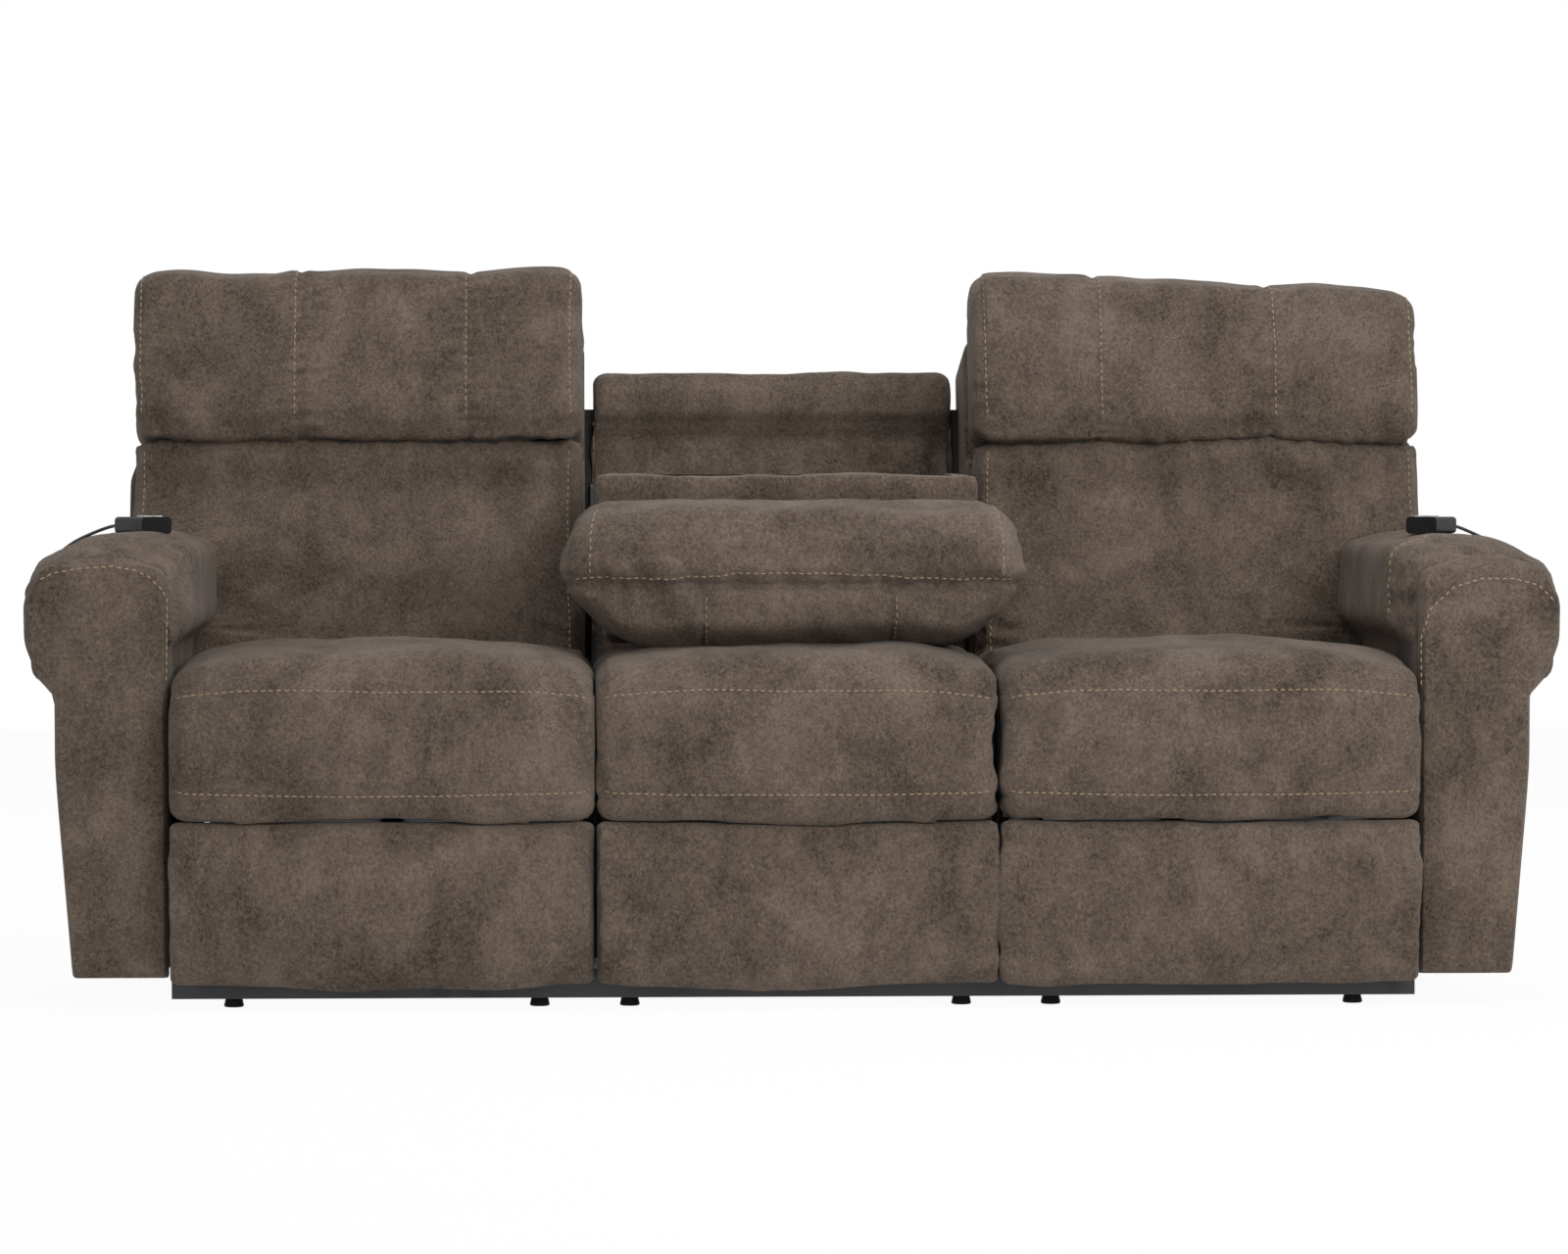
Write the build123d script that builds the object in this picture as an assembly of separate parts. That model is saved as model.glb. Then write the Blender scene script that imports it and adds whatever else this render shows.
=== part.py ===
from build123d import *
import os
from math import atan2, cos, degrees, hypot, pi, radians, sin, tan

# Three-seat power recliner sofa with a drop-down console in its middle back.
# Millimetres, +Z up, the front faces -Y, the origin is on the floor under the middle of the sofa.
# The console is folded down over the middle seat, both recliners are closed.

# ---------------------------------------------------------------- driving dimensions
HALF_WIDTH = 1105.0         # middle to the outermost point of an arm's roll
HALF_DEPTH = 510.0          # middle to the front of the seats, and to the rear of the backs
FIT = 0.3                   # running clearance between a pin and its hole
SOFT_GAP = 1.0              # clearance between neighbouring soft pieces
PLATE_GAP = 1.5             # clearance between steel plates that pass each other

SEAT_JOINT = 290.0          # middle to the joint between the middle seat and an outer seat
ARM_INNER = 900.0           # middle to an arm's inner face
ARM_PANEL = 1064.0          # middle to an arm's flat outer face
ARM_FOOT = 1040.0           # middle to the outer bottom edge of an arm
ARM_BOTTOM = 55.0
ARM_TOP = 680.0             # crown of an arm's pad
ARM_FRONT = 460.0           # middle to an arm's front face
PANEL_TOP = 644.0           # top of the facing on an arm's front
PANEL_THICK = 30.0

GLIDE_HEIGHT = 13.0
GLIDE_RADIUS = 15.0
RAIL_HEIGHT = 42.0
RAIL_WIDTH = 40.0
RAIL_FRONT = 440.0          # middle to the front face of the base's front rail
RAIL_REAR = 150.0           # middle to the rear face of the base's rear rail
SIDE_PANEL = 20.0           # thickness of the boards that carry the arms

DECK = 308.0                # top of a seat's timber frame
DECK_TIMBER = 36.0
LIP_BOTTOM = 272.0          # underside of a seat cushion's front lip
SEAT_CROWN = 511.0
SEAT_REAR = 52.0            # rear end of a seat cushion at its bottom
FOOT_PANEL_BOTTOM = 25.0
FOOT_PAD = 40.0             # thickness of the padding on a footrest or front panel
BOARD = 12.0                # thickness of the boards behind that padding

LEAN = 13.0                 # backs lean this many degrees from upright
RECLINE_Y = 130.0           # axis of the recline hinge
RECLINE_Z = 330.0
BACK_INNER = 300.0          # middle to the inner face of an outer back
BACK_OUTER = 1008.0         # middle to the outer face of an outer back
BACK_TOP = 688.0            # along the lean, above the recline axis
BACK_BOTTOM = -80.0
WING_BOTTOM = 96.0          # above this an outer back runs out behind its arm
BACK_SHELL = 14.0           # wall of an outer back's shell
LUMBAR_FRONT = -74.0        # across the lean, from the recline axis
LUMBAR_REAR = 8.0
CREASE = 491.0              # along the lean, the fold between lumbar cushion and headrest
CREASE_FRONT = -62.0
HEAD_FRONT = -118.0
HEAD_REAR = 40.0
HEAD_TOP = 768.0

FIXED_HALF = 285.0          # half the width of the middle back
FIXED_FRONT = 162.0         # across the lean, the middle back's recessed face
FIXED_ROLL = 120.0          # across the lean, the padded roll along its top
FIXED_TOP = 650.0

CONSOLE_Y = 145.0           # axis of the console hinge
CONSOLE_Z = 572.0
CONSOLE_HALF = 287.0
CONSOLE_NECK = 274.0        # half the console's width between its hinge plates
CONSOLE_REACH = 541.0       # from the hinge axis to the front of the folded pillow
CONSOLE_BOTTOM = 512.3
CONSOLE_TOP = 764.0
PILLOW_HALF = 298.0
PILLOW_TOP = 727.0
PILLOW_DEPTH = 226.0
CUP_RADIUS = 38.0
CUP_DEPTH = 60.0
CUP_PITCH = 240.0

TRACK_OFFSET = 246.0        # mid-plane of the steel tracks, from the middle of an outer seat
STEEL = 5.0                 # thickness of the mechanism's plates
LINK_WIDTH = 30.0
PIN_RADIUS = 6.0
PIN_PROUD = 0.5             # a pin's end stands this far out of the plate it passes through
SLIDE_TRAVEL = 70.0         # a seat moves this far forwards as its back reclines
LINK_Y = -395.0             # pivot of the lower footrest link on the seat
LINK_Z = 245.0
LOWER_LINK = 165.0
LOWER_REST = -20.0          # rest angle of the lower link, from +Y towards +Z
BOARD_PIVOT_Y = -440.0
BOARD_PIVOT_Z = 150.0

HANDSET_LENGTH = 120.0
HANDSET_WIDTH = 46.0
HANDSET_HEIGHT = 25.0
HANDSET_X = 952.0
HANDSET_Y = -250.0
HANDSET_YAW = 24.0          # the cord end of a handset points outwards by this angle
BUTTON_TRAVEL = 1.2
CORD_DIAMETER = 5.0

# ---------------------------------------------------------------- derived places
SEAT_INNER = SEAT_JOINT + SOFT_GAP
SEAT_OUTER = ARM_INNER - 2 * SOFT_GAP
SEAT_MID = (SEAT_INNER + SEAT_OUTER) / 2
SEAT_HALF = (SEAT_OUTER - SEAT_INNER) / 2
MIDDLE_HALF = SEAT_JOINT - SOFT_GAP
BACK_NARROW = ARM_INNER - 4 * SOFT_GAP      # outer face of an outer back between the arms
RAIL_TOP = GLIDE_HEIGHT + RAIL_HEIGHT
FOOT_REAR = -HALF_DEPTH + FOOT_PAD
BOARD_REAR = FOOT_REAR + BOARD
FOOT_PANEL_TOP = LIP_BOTTOM - 4 * SOFT_GAP
SIDES = {"left": -1, "right": 1}
REAR_ROUND = 45.0
REAR_SPAN = HALF_DEPTH - RECLINE_Y - REAR_ROUND - (BACK_TOP - REAR_ROUND) * sin(radians(LEAN))
BACK_REAR = REAR_SPAN / cos(radians(LEAN)) + REAR_ROUND


# ---------------------------------------------------------------- shared helpers
def lean_point(across, along, x=0.0):
    """A point given across and along the leaning backs, counted from the recline axis."""
    angle = radians(LEAN)
    y = RECLINE_Y + across * cos(angle) + along * sin(angle)
    z = RECLINE_Z - across * sin(angle) + along * cos(angle)
    return (x, y, z)


def rounded_face(corners):
    """Closed flat face through (a, b, radius) corners, rounded by arcs that the edges have room for."""
    spans = []
    count = len(corners)
    pairs = zip(corners, corners[1:] + corners[:1])
    if sum(one[0] * two[1] - two[0] * one[1] for one, two in pairs) < 0:
        corners = corners[::-1]
    for index, (a, b, radius) in enumerate(corners):
        before = corners[index - 1]
        after = corners[(index + 1) % count]
        back = Vector(before[0] - a, before[1] - b)
        ahead = Vector(after[0] - a, after[1] - b)
        half = radians(back.get_angle(ahead)) / 2
        reach = min(radius / tan(half), 0.49 * back.length, 0.49 * ahead.length)
        back, ahead, here = back.normalized(), ahead.normalized(), Vector(a, b)
        if radius == 0:
            spans.append((here, here, here))
            continue
        inset = reach * tan(half) * (1 / sin(half) - 1)
        middle = here + (back + ahead).normalized() * inset
        spans.append((here + back * reach, middle, here + ahead * reach))
    edges = []
    for index, (start, middle, end) in enumerate(spans):
        if (end - start).length > 1e-6:
            edges.append(ThreePointArc(start, middle, end))
        following = spans[(index + 1) % count][0]
        if (following - end).length > 1e-6:
            edges.append(Line(end, following))
    return make_face(edges)


def along_x(face, low, high):
    """Extrude a (y, z) face between two x values."""
    plane = Plane(origin=(low, 0, 0), x_dir=(0, 1, 0), z_dir=(1, 0, 0))
    return extrude(plane * face, high - low)


def along_y(face, low, high):
    """Extrude an (x, z) face between two y values."""
    plane = Plane(origin=(0, high, 0), x_dir=(1, 0, 0), z_dir=(0, -1, 0))
    return extrude(plane * face, high - low)


def along_z(face, low, high):
    """Extrude an (x, y) face between two z values."""
    return extrude(Plane.XY.offset(low) * face, high - low)


def leaning_side(face, low, high):
    """Extrude an (across, along) face of the leaning frame between two x values."""
    angle = radians(LEAN)
    plane = Plane(origin=lean_point(0, 0, low), x_dir=(0, cos(angle), -sin(angle)), z_dir=(1, 0, 0))
    return extrude(plane * face, high - low)


def leaning_front(face, low, high):
    """Extrude an (x, along) face of the leaning frame between two places across it."""
    angle = radians(LEAN)
    normal = (0, -cos(angle), sin(angle))
    plane = Plane(origin=lean_point(high, 0), x_dir=(1, 0, 0), z_dir=normal)
    return extrude(plane * face, high - low)


def leaning_plan(face, low, high):
    """Extrude an (x, across) face of the leaning frame between two heights along it."""
    angle = radians(LEAN)
    plane = Plane(origin=lean_point(0, low), x_dir=(1, 0, 0), z_dir=(0, sin(angle), cos(angle)))
    return extrude(plane * face, high - low)


def block(x_low, x_high, y_low, y_high, z_low, z_high):
    """A box between two corners."""
    size = (x_high - x_low, y_high - y_low, z_high - z_low)
    centre = ((x_high + x_low) / 2, (y_high + y_low) / 2, (z_high + z_low) / 2)
    return Pos(*centre) * Box(*size)


def corners_of(low_a, high_a, low_b, high_b, radius):
    """Four equally rounded corners of an upright rectangle."""
    pairs = ((low_a, low_b), (high_a, low_b), (high_a, high_b), (low_a, high_b))
    return [(a, b, radius) for a, b in pairs]


def rod_x(radius, low, high, y, z):
    """A round bar along X."""
    plane = Plane(origin=(low, y, z), x_dir=(0, 1, 0), z_dir=(1, 0, 0))
    return extrude(plane * Circle(radius), high - low)


def bar_link(start, end, width, x_middle, thickness, holes):
    """A flat bar with round ends between two (y, z) pivots, bored at the listed (y, z, radius)."""
    length = hypot(end[0] - start[0], end[1] - start[1])
    angle = degrees(atan2(end[1] - start[1], end[0] - start[0]))
    middle = ((start[0] + end[0]) / 2, (start[1] + end[1]) / 2)
    face = Pos(*middle) * Rot(0, 0, angle) * SlotCenterToCenter(length, width)
    for y, z, radius in holes:
        face -= Pos(y, z) * Circle(radius)
    return along_x(face, x_middle - thickness / 2, x_middle + thickness / 2)


def save(name, pieces):
    """Write one node, made of one solid or of a group of separate solids."""
    solids = []
    for piece in pieces:
        solids.extend(piece.solids())
    shape = solids[0] if len(solids) == 1 else Compound(children=solids)
    shape.label = name
    export_step(shape, os.path.join("parts", name + ".step"))


# ---------------------------------------------------------------- base
def base_long_rails():
    """Black front rail, which shows under the footrests, and its twin at the rear."""
    rails = []
    for front in (-RAIL_FRONT, RAIL_REAR - RAIL_WIDTH):
        rails.append(block(-SEAT_OUTER, SEAT_OUTER, front, front + RAIL_WIDTH, GLIDE_HEIGHT, RAIL_TOP))
    return rails


def base_cross_rails():
    """Four rails that join the front rail to the rear rail."""
    rails = []
    for x in (-SEAT_OUTER + RAIL_WIDTH / 2, -SEAT_JOINT, SEAT_JOINT, SEAT_OUTER - RAIL_WIDTH / 2):
        low, high = x - RAIL_WIDTH / 2, x + RAIL_WIDTH / 2
        front, rear = -RAIL_FRONT + RAIL_WIDTH, RAIL_REAR - RAIL_WIDTH
        rails.append(block(low, high, front, rear, GLIDE_HEIGHT, RAIL_TOP))
    return rails


GLIDE_PLACES = (370.0, 240.0, 810.0)


def glide_feet():
    """Black plastic glides under the front and rear rails."""
    profile = rounded_face([(0, 0, 0), (GLIDE_RADIUS, 0, 2.5), (GLIDE_RADIUS - 3, GLIDE_HEIGHT, 0),
                            (0, GLIDE_HEIGHT, 0)])
    foot = revolve(Plane.XZ * profile, Axis.Z)
    feet = []
    for y in (-RAIL_FRONT + RAIL_WIDTH / 2, RAIL_REAR - RAIL_WIDTH / 2):
        for x in GLIDE_PLACES:
            feet.extend([Pos(-x, y, 0) * foot, Pos(x, y, 0) * foot])
    return feet


SIDE_PANEL_TOP = 262.0
BOLT_RADIUS = 5.0
BOLT_PLACES = ((-330.0, 120.0), (-330.0, 220.0), (-60.0, 170.0))


def base_side_panels():
    """Boards on edge that stand on the outer cross rails and carry the arms."""
    panels = []
    for side in SIDES.values():
        face = rounded_face(corners_of(-RAIL_FRONT + RAIL_WIDTH, CAVITY_REAR,
                                       RAIL_TOP, SIDE_PANEL_TOP, 6))
        for y, z in BOLT_PLACES:
            face -= Pos(y, z) * Circle(BOLT_RADIUS + FIT)
        low, high = sorted((side * (ARM_INNER - SIDE_PANEL), side * ARM_INNER))
        panels.append(along_x(face, low, high))
    return panels


TRACK_STUDS = (-250.0, -40.0)
STUD_Z = LINK_Z - 60


def mechanism_tracks():
    """Fixed steel plates, two under each outer seat, with the studs that the seat slides on."""
    pieces = []
    top = LINK_Z - 40
    for side in SIDES.values():
        for offset in (-TRACK_OFFSET, TRACK_OFFSET):
            x = side * SEAT_MID + offset
            face = rounded_face([(-RAIL_FRONT + 5, RAIL_TOP, 0), (RAIL_REAR - 5, RAIL_TOP, 0),
                                 (RAIL_REAR - 5, RAIL_TOP + 25, 8), (40, RAIL_TOP + 25, 20),
                                 (10, top, 14), (-330, top, 14), (-345, RAIL_TOP + 25, 20),
                                 (-RAIL_FRONT + 5, RAIL_TOP + 25, 8)])
            pieces.append(along_x(face, x - STEEL / 2, x + STEEL / 2))
            for y in TRACK_STUDS:
                inward = -1 if offset > 0 else 1
                start = x + inward * STEEL / 2
                end = x + inward * (STEEL * 1.5 + PLATE_GAP + PIN_PROUD)
                pieces.append(rod_x(PIN_RADIUS, min(start, end), max(start, end), y, STUD_Z))
    return pieces


# ---------------------------------------------------------------- arms
def arm_outline(side, facing):
    """Outline of an arm from the front: a tapered panel under a roll, as (x, z) corners."""
    top = PANEL_TOP if facing else ARM_TOP + 4
    if facing:
        crown = [(HALF_WIDTH - 2, top - 4, 70), (985, top + 3, 150), (ARM_INNER + 2, top - 12, 40)]
        inner = [(ARM_INNER + 2, ARM_BOTTOM, 6)]
    else:
        crown = [(HALF_WIDTH, 648, 75), (960, top, 200), (862, 668, 45), (862, 545, 40)]
        inner = [(ARM_INNER, 515, 15), (ARM_INNER, ARM_BOTTOM, 6)]
    outer = [(ARM_FOOT, ARM_BOTTOM, 10), (ARM_PANEL, 340, 700), (ARM_PANEL, 460, 12),
             (HALF_WIDTH - (2 if facing else 0), 474, 36)]
    corners = [(side * x, z, radius) for x, z, radius in outer + crown + inner]
    return rounded_face(corners)


ARM_REAR = 115.0
ARM_CUT = LUMBAR_FRONT - 6 * SOFT_GAP
CAVITY = (925.0, 1022.0, 78.0, 430.0)
CAVITY_REAR = 20.0


def arm_cover(side):
    """Panel, hollow round its timber box, and padded roll, its rear end cut along the leaning back."""
    reach = 240
    cover = along_y(arm_outline(side, False), -ARM_FRONT + PANEL_THICK, reach)
    knee = lean_point(ARM_CUT, WING_BOTTOM - 12)
    tip = lean_point(ARM_CUT, WING_BOTTOM + 400)
    keep = rounded_face([(-ARM_FRONT, 0, 0), (ARM_REAR, 0, 0), (ARM_REAR, knee[2] - 40, 0),
                         (knee[1], knee[2], 0), (tip[1], tip[2], 0), (-ARM_FRONT, tip[2], 0)])
    cover &= along_x(keep, -HALF_WIDTH - 1, HALF_WIDTH + 1)
    low, high = sorted((side * CAVITY[0], side * CAVITY[1]))
    cover -= block(low, high, -ARM_FRONT + PANEL_THICK, CAVITY_REAR, CAVITY[2], CAVITY[3])
    for y, z in BOLT_PLACES:
        wall = sorted((side * ARM_INNER, side * CAVITY[0]))
        cover -= rod_x(BOLT_RADIUS + FIT, wall[0], wall[1], y, z)
    roll = block(-HALF_WIDTH - 1, HALF_WIDTH + 1, -ARM_FRONT, reach, CAVITY[3], ARM_TOP + 5)
    return [cover - roll, cover & roll]


def arm_front_panel(side):
    """Facing with the outline of the roll, over the front end of an arm."""
    return [along_y(arm_outline(side, True), -ARM_FRONT, -ARM_FRONT + PANEL_THICK)]


def arm_frame(side):
    """Timber box in an arm: two boards on edge between a bottom and a top board."""
    thick = 18.0
    inner, outer, bottom, top = CAVITY
    front = -ARM_FRONT + PANEL_THICK
    boards = []
    for x_in, x_out, z_in, z_out in ((inner, inner + thick, bottom, top),
                                     (outer - thick, outer, bottom, top),
                                     (inner + thick, outer - thick, bottom, bottom + thick),
                                     (inner + thick, outer - thick, top - thick, top)):
        low, high = sorted((side * x_in, side * x_out))
        board = block(low, high, front, CAVITY_REAR, z_in, z_out)
        if x_in == inner:
            for y, z in BOLT_PLACES:
                board -= rod_x(BOLT_RADIUS + FIT, low, high, y, z)
        boards.append(board)
    return boards


def arm_bolts():
    """Bolts from the base's side boards through the arm covers into the timber boxes."""
    bolts = []
    for side in SIDES.values():
        for y, z in BOLT_PLACES:
            head = sorted((side * (ARM_INNER - SIDE_PANEL - 6), side * (ARM_INNER - SIDE_PANEL)))
            shank = sorted((side * (ARM_INNER - SIDE_PANEL), side * (CAVITY[0] + 18)))
            bolt = rod_x(BOLT_RADIUS, shank[0], shank[1], y, z)
            bolts.append(bolt + rod_x(9, head[0], head[1], y, z))
    return bolts


# ---------------------------------------------------------------- seats
def seat_cushion(x_low, x_high):
    """Crowned seat cushion, higher in its middle than at its edges, and the lip sewn under its front."""
    rear_top = lean_point(LUMBAR_FRONT - 10, 178)
    side = rounded_face([(-RAIL_FRONT, LIP_BOTTOM, 12), (-HALF_DEPTH + 6, LIP_BOTTOM, 22),
                         (-HALF_DEPTH, 315, 120), (-HALF_DEPTH, 430, 120),
                         (-HALF_DEPTH + 22, SEAT_CROWN - 2, 58), (-200, SEAT_CROWN, 1500),
                         (rear_top[1], rear_top[2], 30), (SEAT_REAR, DECK + 5, 8),
                         (-RAIL_FRONT, DECK + 5, 0)])
    middle = (x_low + x_high) / 2
    front = rounded_face([(x_low, LIP_BOTTOM - 5, 20), (x_high, LIP_BOTTOM - 5, 20),
                          (x_high, SEAT_CROWN - 26, 45), (middle, SEAT_CROWN + 9, 1800),
                          (x_low, SEAT_CROWN - 26, 45)])
    cushion = along_x(side, x_low, x_high) & along_y(front, -HALF_DEPTH - 5, 200)
    lip = block(x_low, x_high, -HALF_DEPTH - 1, -RAIL_FRONT, LIP_BOTTOM - 1, DECK + 5)
    return [cushion - lip, cushion & lip]


def seat_frame(middle, half):
    """Timber ring under a seat cushion."""
    low, high = middle - half, middle + half
    front, rear = -RAIL_FRONT, SEAT_REAR
    bottom = DECK - DECK_TIMBER
    width = 40.0
    return [block(low, high, front, front + width, bottom, DECK),
            block(low, high, rear - width, rear, bottom, DECK),
            block(low, low + width, front + width, rear - width, bottom, DECK),
            block(high - width, high, front + width, rear - width, bottom, DECK)]


def seat_webbing(middle):
    """Four elastic bands stretched from the front to the rear of a seat frame."""
    bands = []
    for index in range(4):
        x = middle + (index - 1.5) * 110
        bands.append(block(x - 30, x + 30, -RAIL_FRONT + 10, SEAT_REAR - 10, DECK, DECK + 2.5))
    return bands


PLATE_OFFSET = TRACK_OFFSET - STEEL - PLATE_GAP
SLOT_RADIUS = PIN_RADIUS + FIT


def seat_slide_plates(side):
    """Steel side plates of a moving seat, slotted for the track studs, with its hinge eyes."""
    plates = []
    top = DECK - DECK_TIMBER
    for direction in (-1, 1):
        x = side * SEAT_MID + direction * PLATE_OFFSET
        face = rounded_face([(-RAIL_FRONT + 8, top, 4), (-RAIL_FRONT + 25, LINK_Z - 22, 14),
                             (-350, STUD_Z - 22, 14), (40, STUD_Z - 22, 20),
                             (RECLINE_Y + 24, RECLINE_Z - 30, 22), (RECLINE_Y + 22, RECLINE_Z + 22, 20),
                             (RECLINE_Y - 22, RECLINE_Z + 22, 20), (RECLINE_Y - 62, top, 6)])
        for y in TRACK_STUDS:
            slot = SlotCenterToCenter(SLIDE_TRAVEL, 2 * SLOT_RADIUS)
            face -= Pos(y + SLIDE_TRAVEL / 2, STUD_Z) * slot
        face -= Pos(LINK_Y, LINK_Z) * Circle(PIN_RADIUS + FIT)
        plates.append(along_x(face, x - STEEL / 2, x + STEEL / 2))
    return plates


def recline_pins(side):
    """Pins on the inner faces of the side plates, on which an outer back turns."""
    pins = []
    for direction in (-1, 1):
        outer = side * SEAT_MID + direction * (PLATE_OFFSET - STEEL / 2)
        inner = outer - direction * (PLATE_GAP + STEEL + PIN_PROUD)
        pins.append(rod_x(PIN_RADIUS, min(outer, inner), max(outer, inner), RECLINE_Y, RECLINE_Z))
    return pins


def middle_seat_supports():
    """Boards on edge from the base's rails up to the fixed middle seat's frame."""
    boards = []
    for x in (-SEAT_JOINT + RAIL_WIDTH, SEAT_JOINT - RAIL_WIDTH):
        boards.append(block(x - SIDE_PANEL / 2, x + SIDE_PANEL / 2, BOARD_REAR,
                            RAIL_REAR - RAIL_WIDTH + 10, RAIL_TOP, DECK - DECK_TIMBER))
    return boards


# ---------------------------------------------------------------- footrest
def swing(point, pivot, angle):
    """A (y, z) point turned about a pivot by an angle in degrees, from +Y towards +Z."""
    turn = radians(angle)
    y, z = point[0] - pivot[0], point[1] - pivot[1]
    return (pivot[0] + y * cos(turn) - z * sin(turn), pivot[1] + y * sin(turn) + z * cos(turn))


LOWER_PIVOT = (LINK_Y, LINK_Z)
MIDDLE_PIVOT = swing((LINK_Y + LOWER_LINK, LINK_Z), LOWER_PIVOT, LOWER_REST)
BOARD_PIVOT = (BOARD_PIVOT_Y, BOARD_PIVOT_Z)
LOWER_OFFSET = PLATE_OFFSET - STEEL - PLATE_GAP
UPPER_OFFSET = LOWER_OFFSET - STEEL - PLATE_GAP
BRACKET_OFFSET = UPPER_OFFSET - STEEL - PLATE_GAP
TORQUE_RADIUS = 12.5
CRANK = 45.0


def footrest_lower_links(side):
    """Two lower links on one torque tube, with the crank that the drive pushes."""
    middle = side * SEAT_MID
    pieces = []
    for direction in (-1, 1):
        x = middle + direction * LOWER_OFFSET
        holes = [(MIDDLE_PIVOT[0], MIDDLE_PIVOT[1], PIN_RADIUS + FIT)]
        pieces.append(bar_link(LOWER_PIVOT, MIDDLE_PIVOT, LINK_WIDTH, x, STEEL, holes))
        near, far = x + direction * STEEL / 2, x + direction * (1.5 * STEEL + PLATE_GAP + PIN_PROUD)
        pieces.append(rod_x(PIN_RADIUS, min(near, far), max(near, far), LINK_Y, LINK_Z))
    reach = LOWER_OFFSET - STEEL / 2
    pieces.append(rod_x(TORQUE_RADIUS, middle - reach, middle + reach, LINK_Y, LINK_Z))
    tip = swing((LINK_Y + CRANK, LINK_Z), LOWER_PIVOT, LOWER_REST + 10)
    crank = bar_link(LOWER_PIVOT, tip, 2 * TORQUE_RADIUS - 2, middle, 8, [(tip[0], tip[1], 4)])
    crank -= rod_x(TORQUE_RADIUS, middle - 5, middle + 5, LINK_Y, LINK_Z)
    pieces.append(crank)
    return pieces


def footrest_upper_links(side):
    """Two upper links, each with a pin for the lower link and a bore for the board's pin."""
    middle = side * SEAT_MID
    pieces = []
    for direction in (-1, 1):
        x = middle + direction * UPPER_OFFSET
        holes = [(BOARD_PIVOT[0], BOARD_PIVOT[1], PIN_RADIUS + FIT)]
        pieces.append(bar_link(MIDDLE_PIVOT, BOARD_PIVOT, LINK_WIDTH, x, STEEL, holes))
        near, far = x + direction * STEEL / 2, x + direction * (1.5 * STEEL + PLATE_GAP + PIN_PROUD)
        pieces.append(rod_x(PIN_RADIUS, min(near, far), max(near, far), *MIDDLE_PIVOT))
    return pieces


def footrest_brackets(side):
    """Lugs on the footrest board with the pins that hold it to the upper links."""
    middle = side * SEAT_MID
    pieces = []
    for direction in (-1, 1):
        x = middle + direction * BRACKET_OFFSET
        face = rounded_face([(BOARD_REAR, BOARD_PIVOT_Z - 55, 0), (BOARD_REAR + 12, BOARD_PIVOT_Z - 55, 5),
                             (BOARD_PIVOT_Y + 13, BOARD_PIVOT_Z - 12, 12),
                             (BOARD_PIVOT_Y + 13, BOARD_PIVOT_Z + 12, 12),
                             (BOARD_REAR + 12, BOARD_PIVOT_Z + 55, 5), (BOARD_REAR, BOARD_PIVOT_Z + 55, 0)])
        pieces.append(along_x(face, x - STEEL / 2, x + STEEL / 2))
        near, far = x + direction * STEEL / 2, x + direction * (1.5 * STEEL + PLATE_GAP + PIN_PROUD)
        pieces.append(rod_x(PIN_RADIUS, min(near, far), max(near, far), *BOARD_PIVOT))
    return pieces


def footrest_board(x_low, x_high):
    """Plywood board behind the padding of a footrest or of the middle front panel."""
    margin = 12.0
    return [block(x_low + margin, x_high - margin, FOOT_REAR, BOARD_REAR,
                  FOOT_PANEL_BOTTOM + margin, FOOT_PANEL_TOP - margin)]


def footrest_pad(x_low, x_high):
    """Padded face of a footrest: full in the middle, drawn in towards its edges."""
    bottom, top = FOOT_PANEL_BOTTOM, FOOT_PANEL_TOP
    side = rounded_face([(FOOT_REAR, bottom + 4, 4), (-HALF_DEPTH + 14, bottom, 14),
                         (-HALF_DEPTH, bottom + 55, 130), (-HALF_DEPTH, top - 60, 130),
                         (-HALF_DEPTH + 12, top, 14), (FOOT_REAR, top, 4)])
    front = rounded_face(corners_of(x_low, x_high, bottom - 1, top + 1, 16))
    middle = (x_low + x_high) / 2
    plan = rounded_face([(x_low, -HALF_DEPTH + 10, 16), (middle, -HALF_DEPTH - 6, 2600),
                         (x_high, -HALF_DEPTH + 10, 16), (x_high, FOOT_REAR, 0), (x_low, FOOT_REAR, 0)])
    pad = along_x(side, x_low, x_high) & along_y(front, -HALF_DEPTH - 5, FOOT_REAR)
    return [pad & along_z(plan, bottom - 5, top + 5)]


ACTUATOR_Z = 228.0
DRIVE_TRAVEL = 105.0


def recliner_actuator(side):
    """Motor, gearbox and channel of the drive, hung between the two cross rods of a seat."""
    x = side * SEAT_MID
    channel = block(x - 18, x + 18, -330, 10, ACTUATOR_Z - 12, ACTUATOR_Z + 12)
    channel -= block(x - 13, x + 13, -325, 5, ACTUATOR_Z - 12, ACTUATOR_Z + 7)
    gearbox = block(x - 28, x + 28, 10, 62, ACTUATOR_Z - 30, ACTUATOR_Z + 30)
    motor = Pos(x, 36, ACTUATOR_Z - 30) * Cylinder(24, 60, align=(Align.CENTER, Align.CENTER, Align.MAX))
    screw = Pos(x, -160, ACTUATOR_Z - 3) * Rot(90, 0, 0) * Cylinder(4, 330)
    return [channel, fillet(gearbox.edges().filter_by(Axis.Z), 6), motor, screw]


def drive_block(side):
    """Nut block that runs along the drive's screw."""
    x = side * SEAT_MID
    y = -110.0
    nut = block(x - 12.5, x + 12.5, y - 20, y + 20, ACTUATOR_Z - 24, ACTUATOR_Z + 6.5)
    nut -= Pos(x, y, ACTUATOR_Z - 3) * Rot(90, 0, 0) * Cylinder(4 + FIT, 42)
    return [nut]


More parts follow.
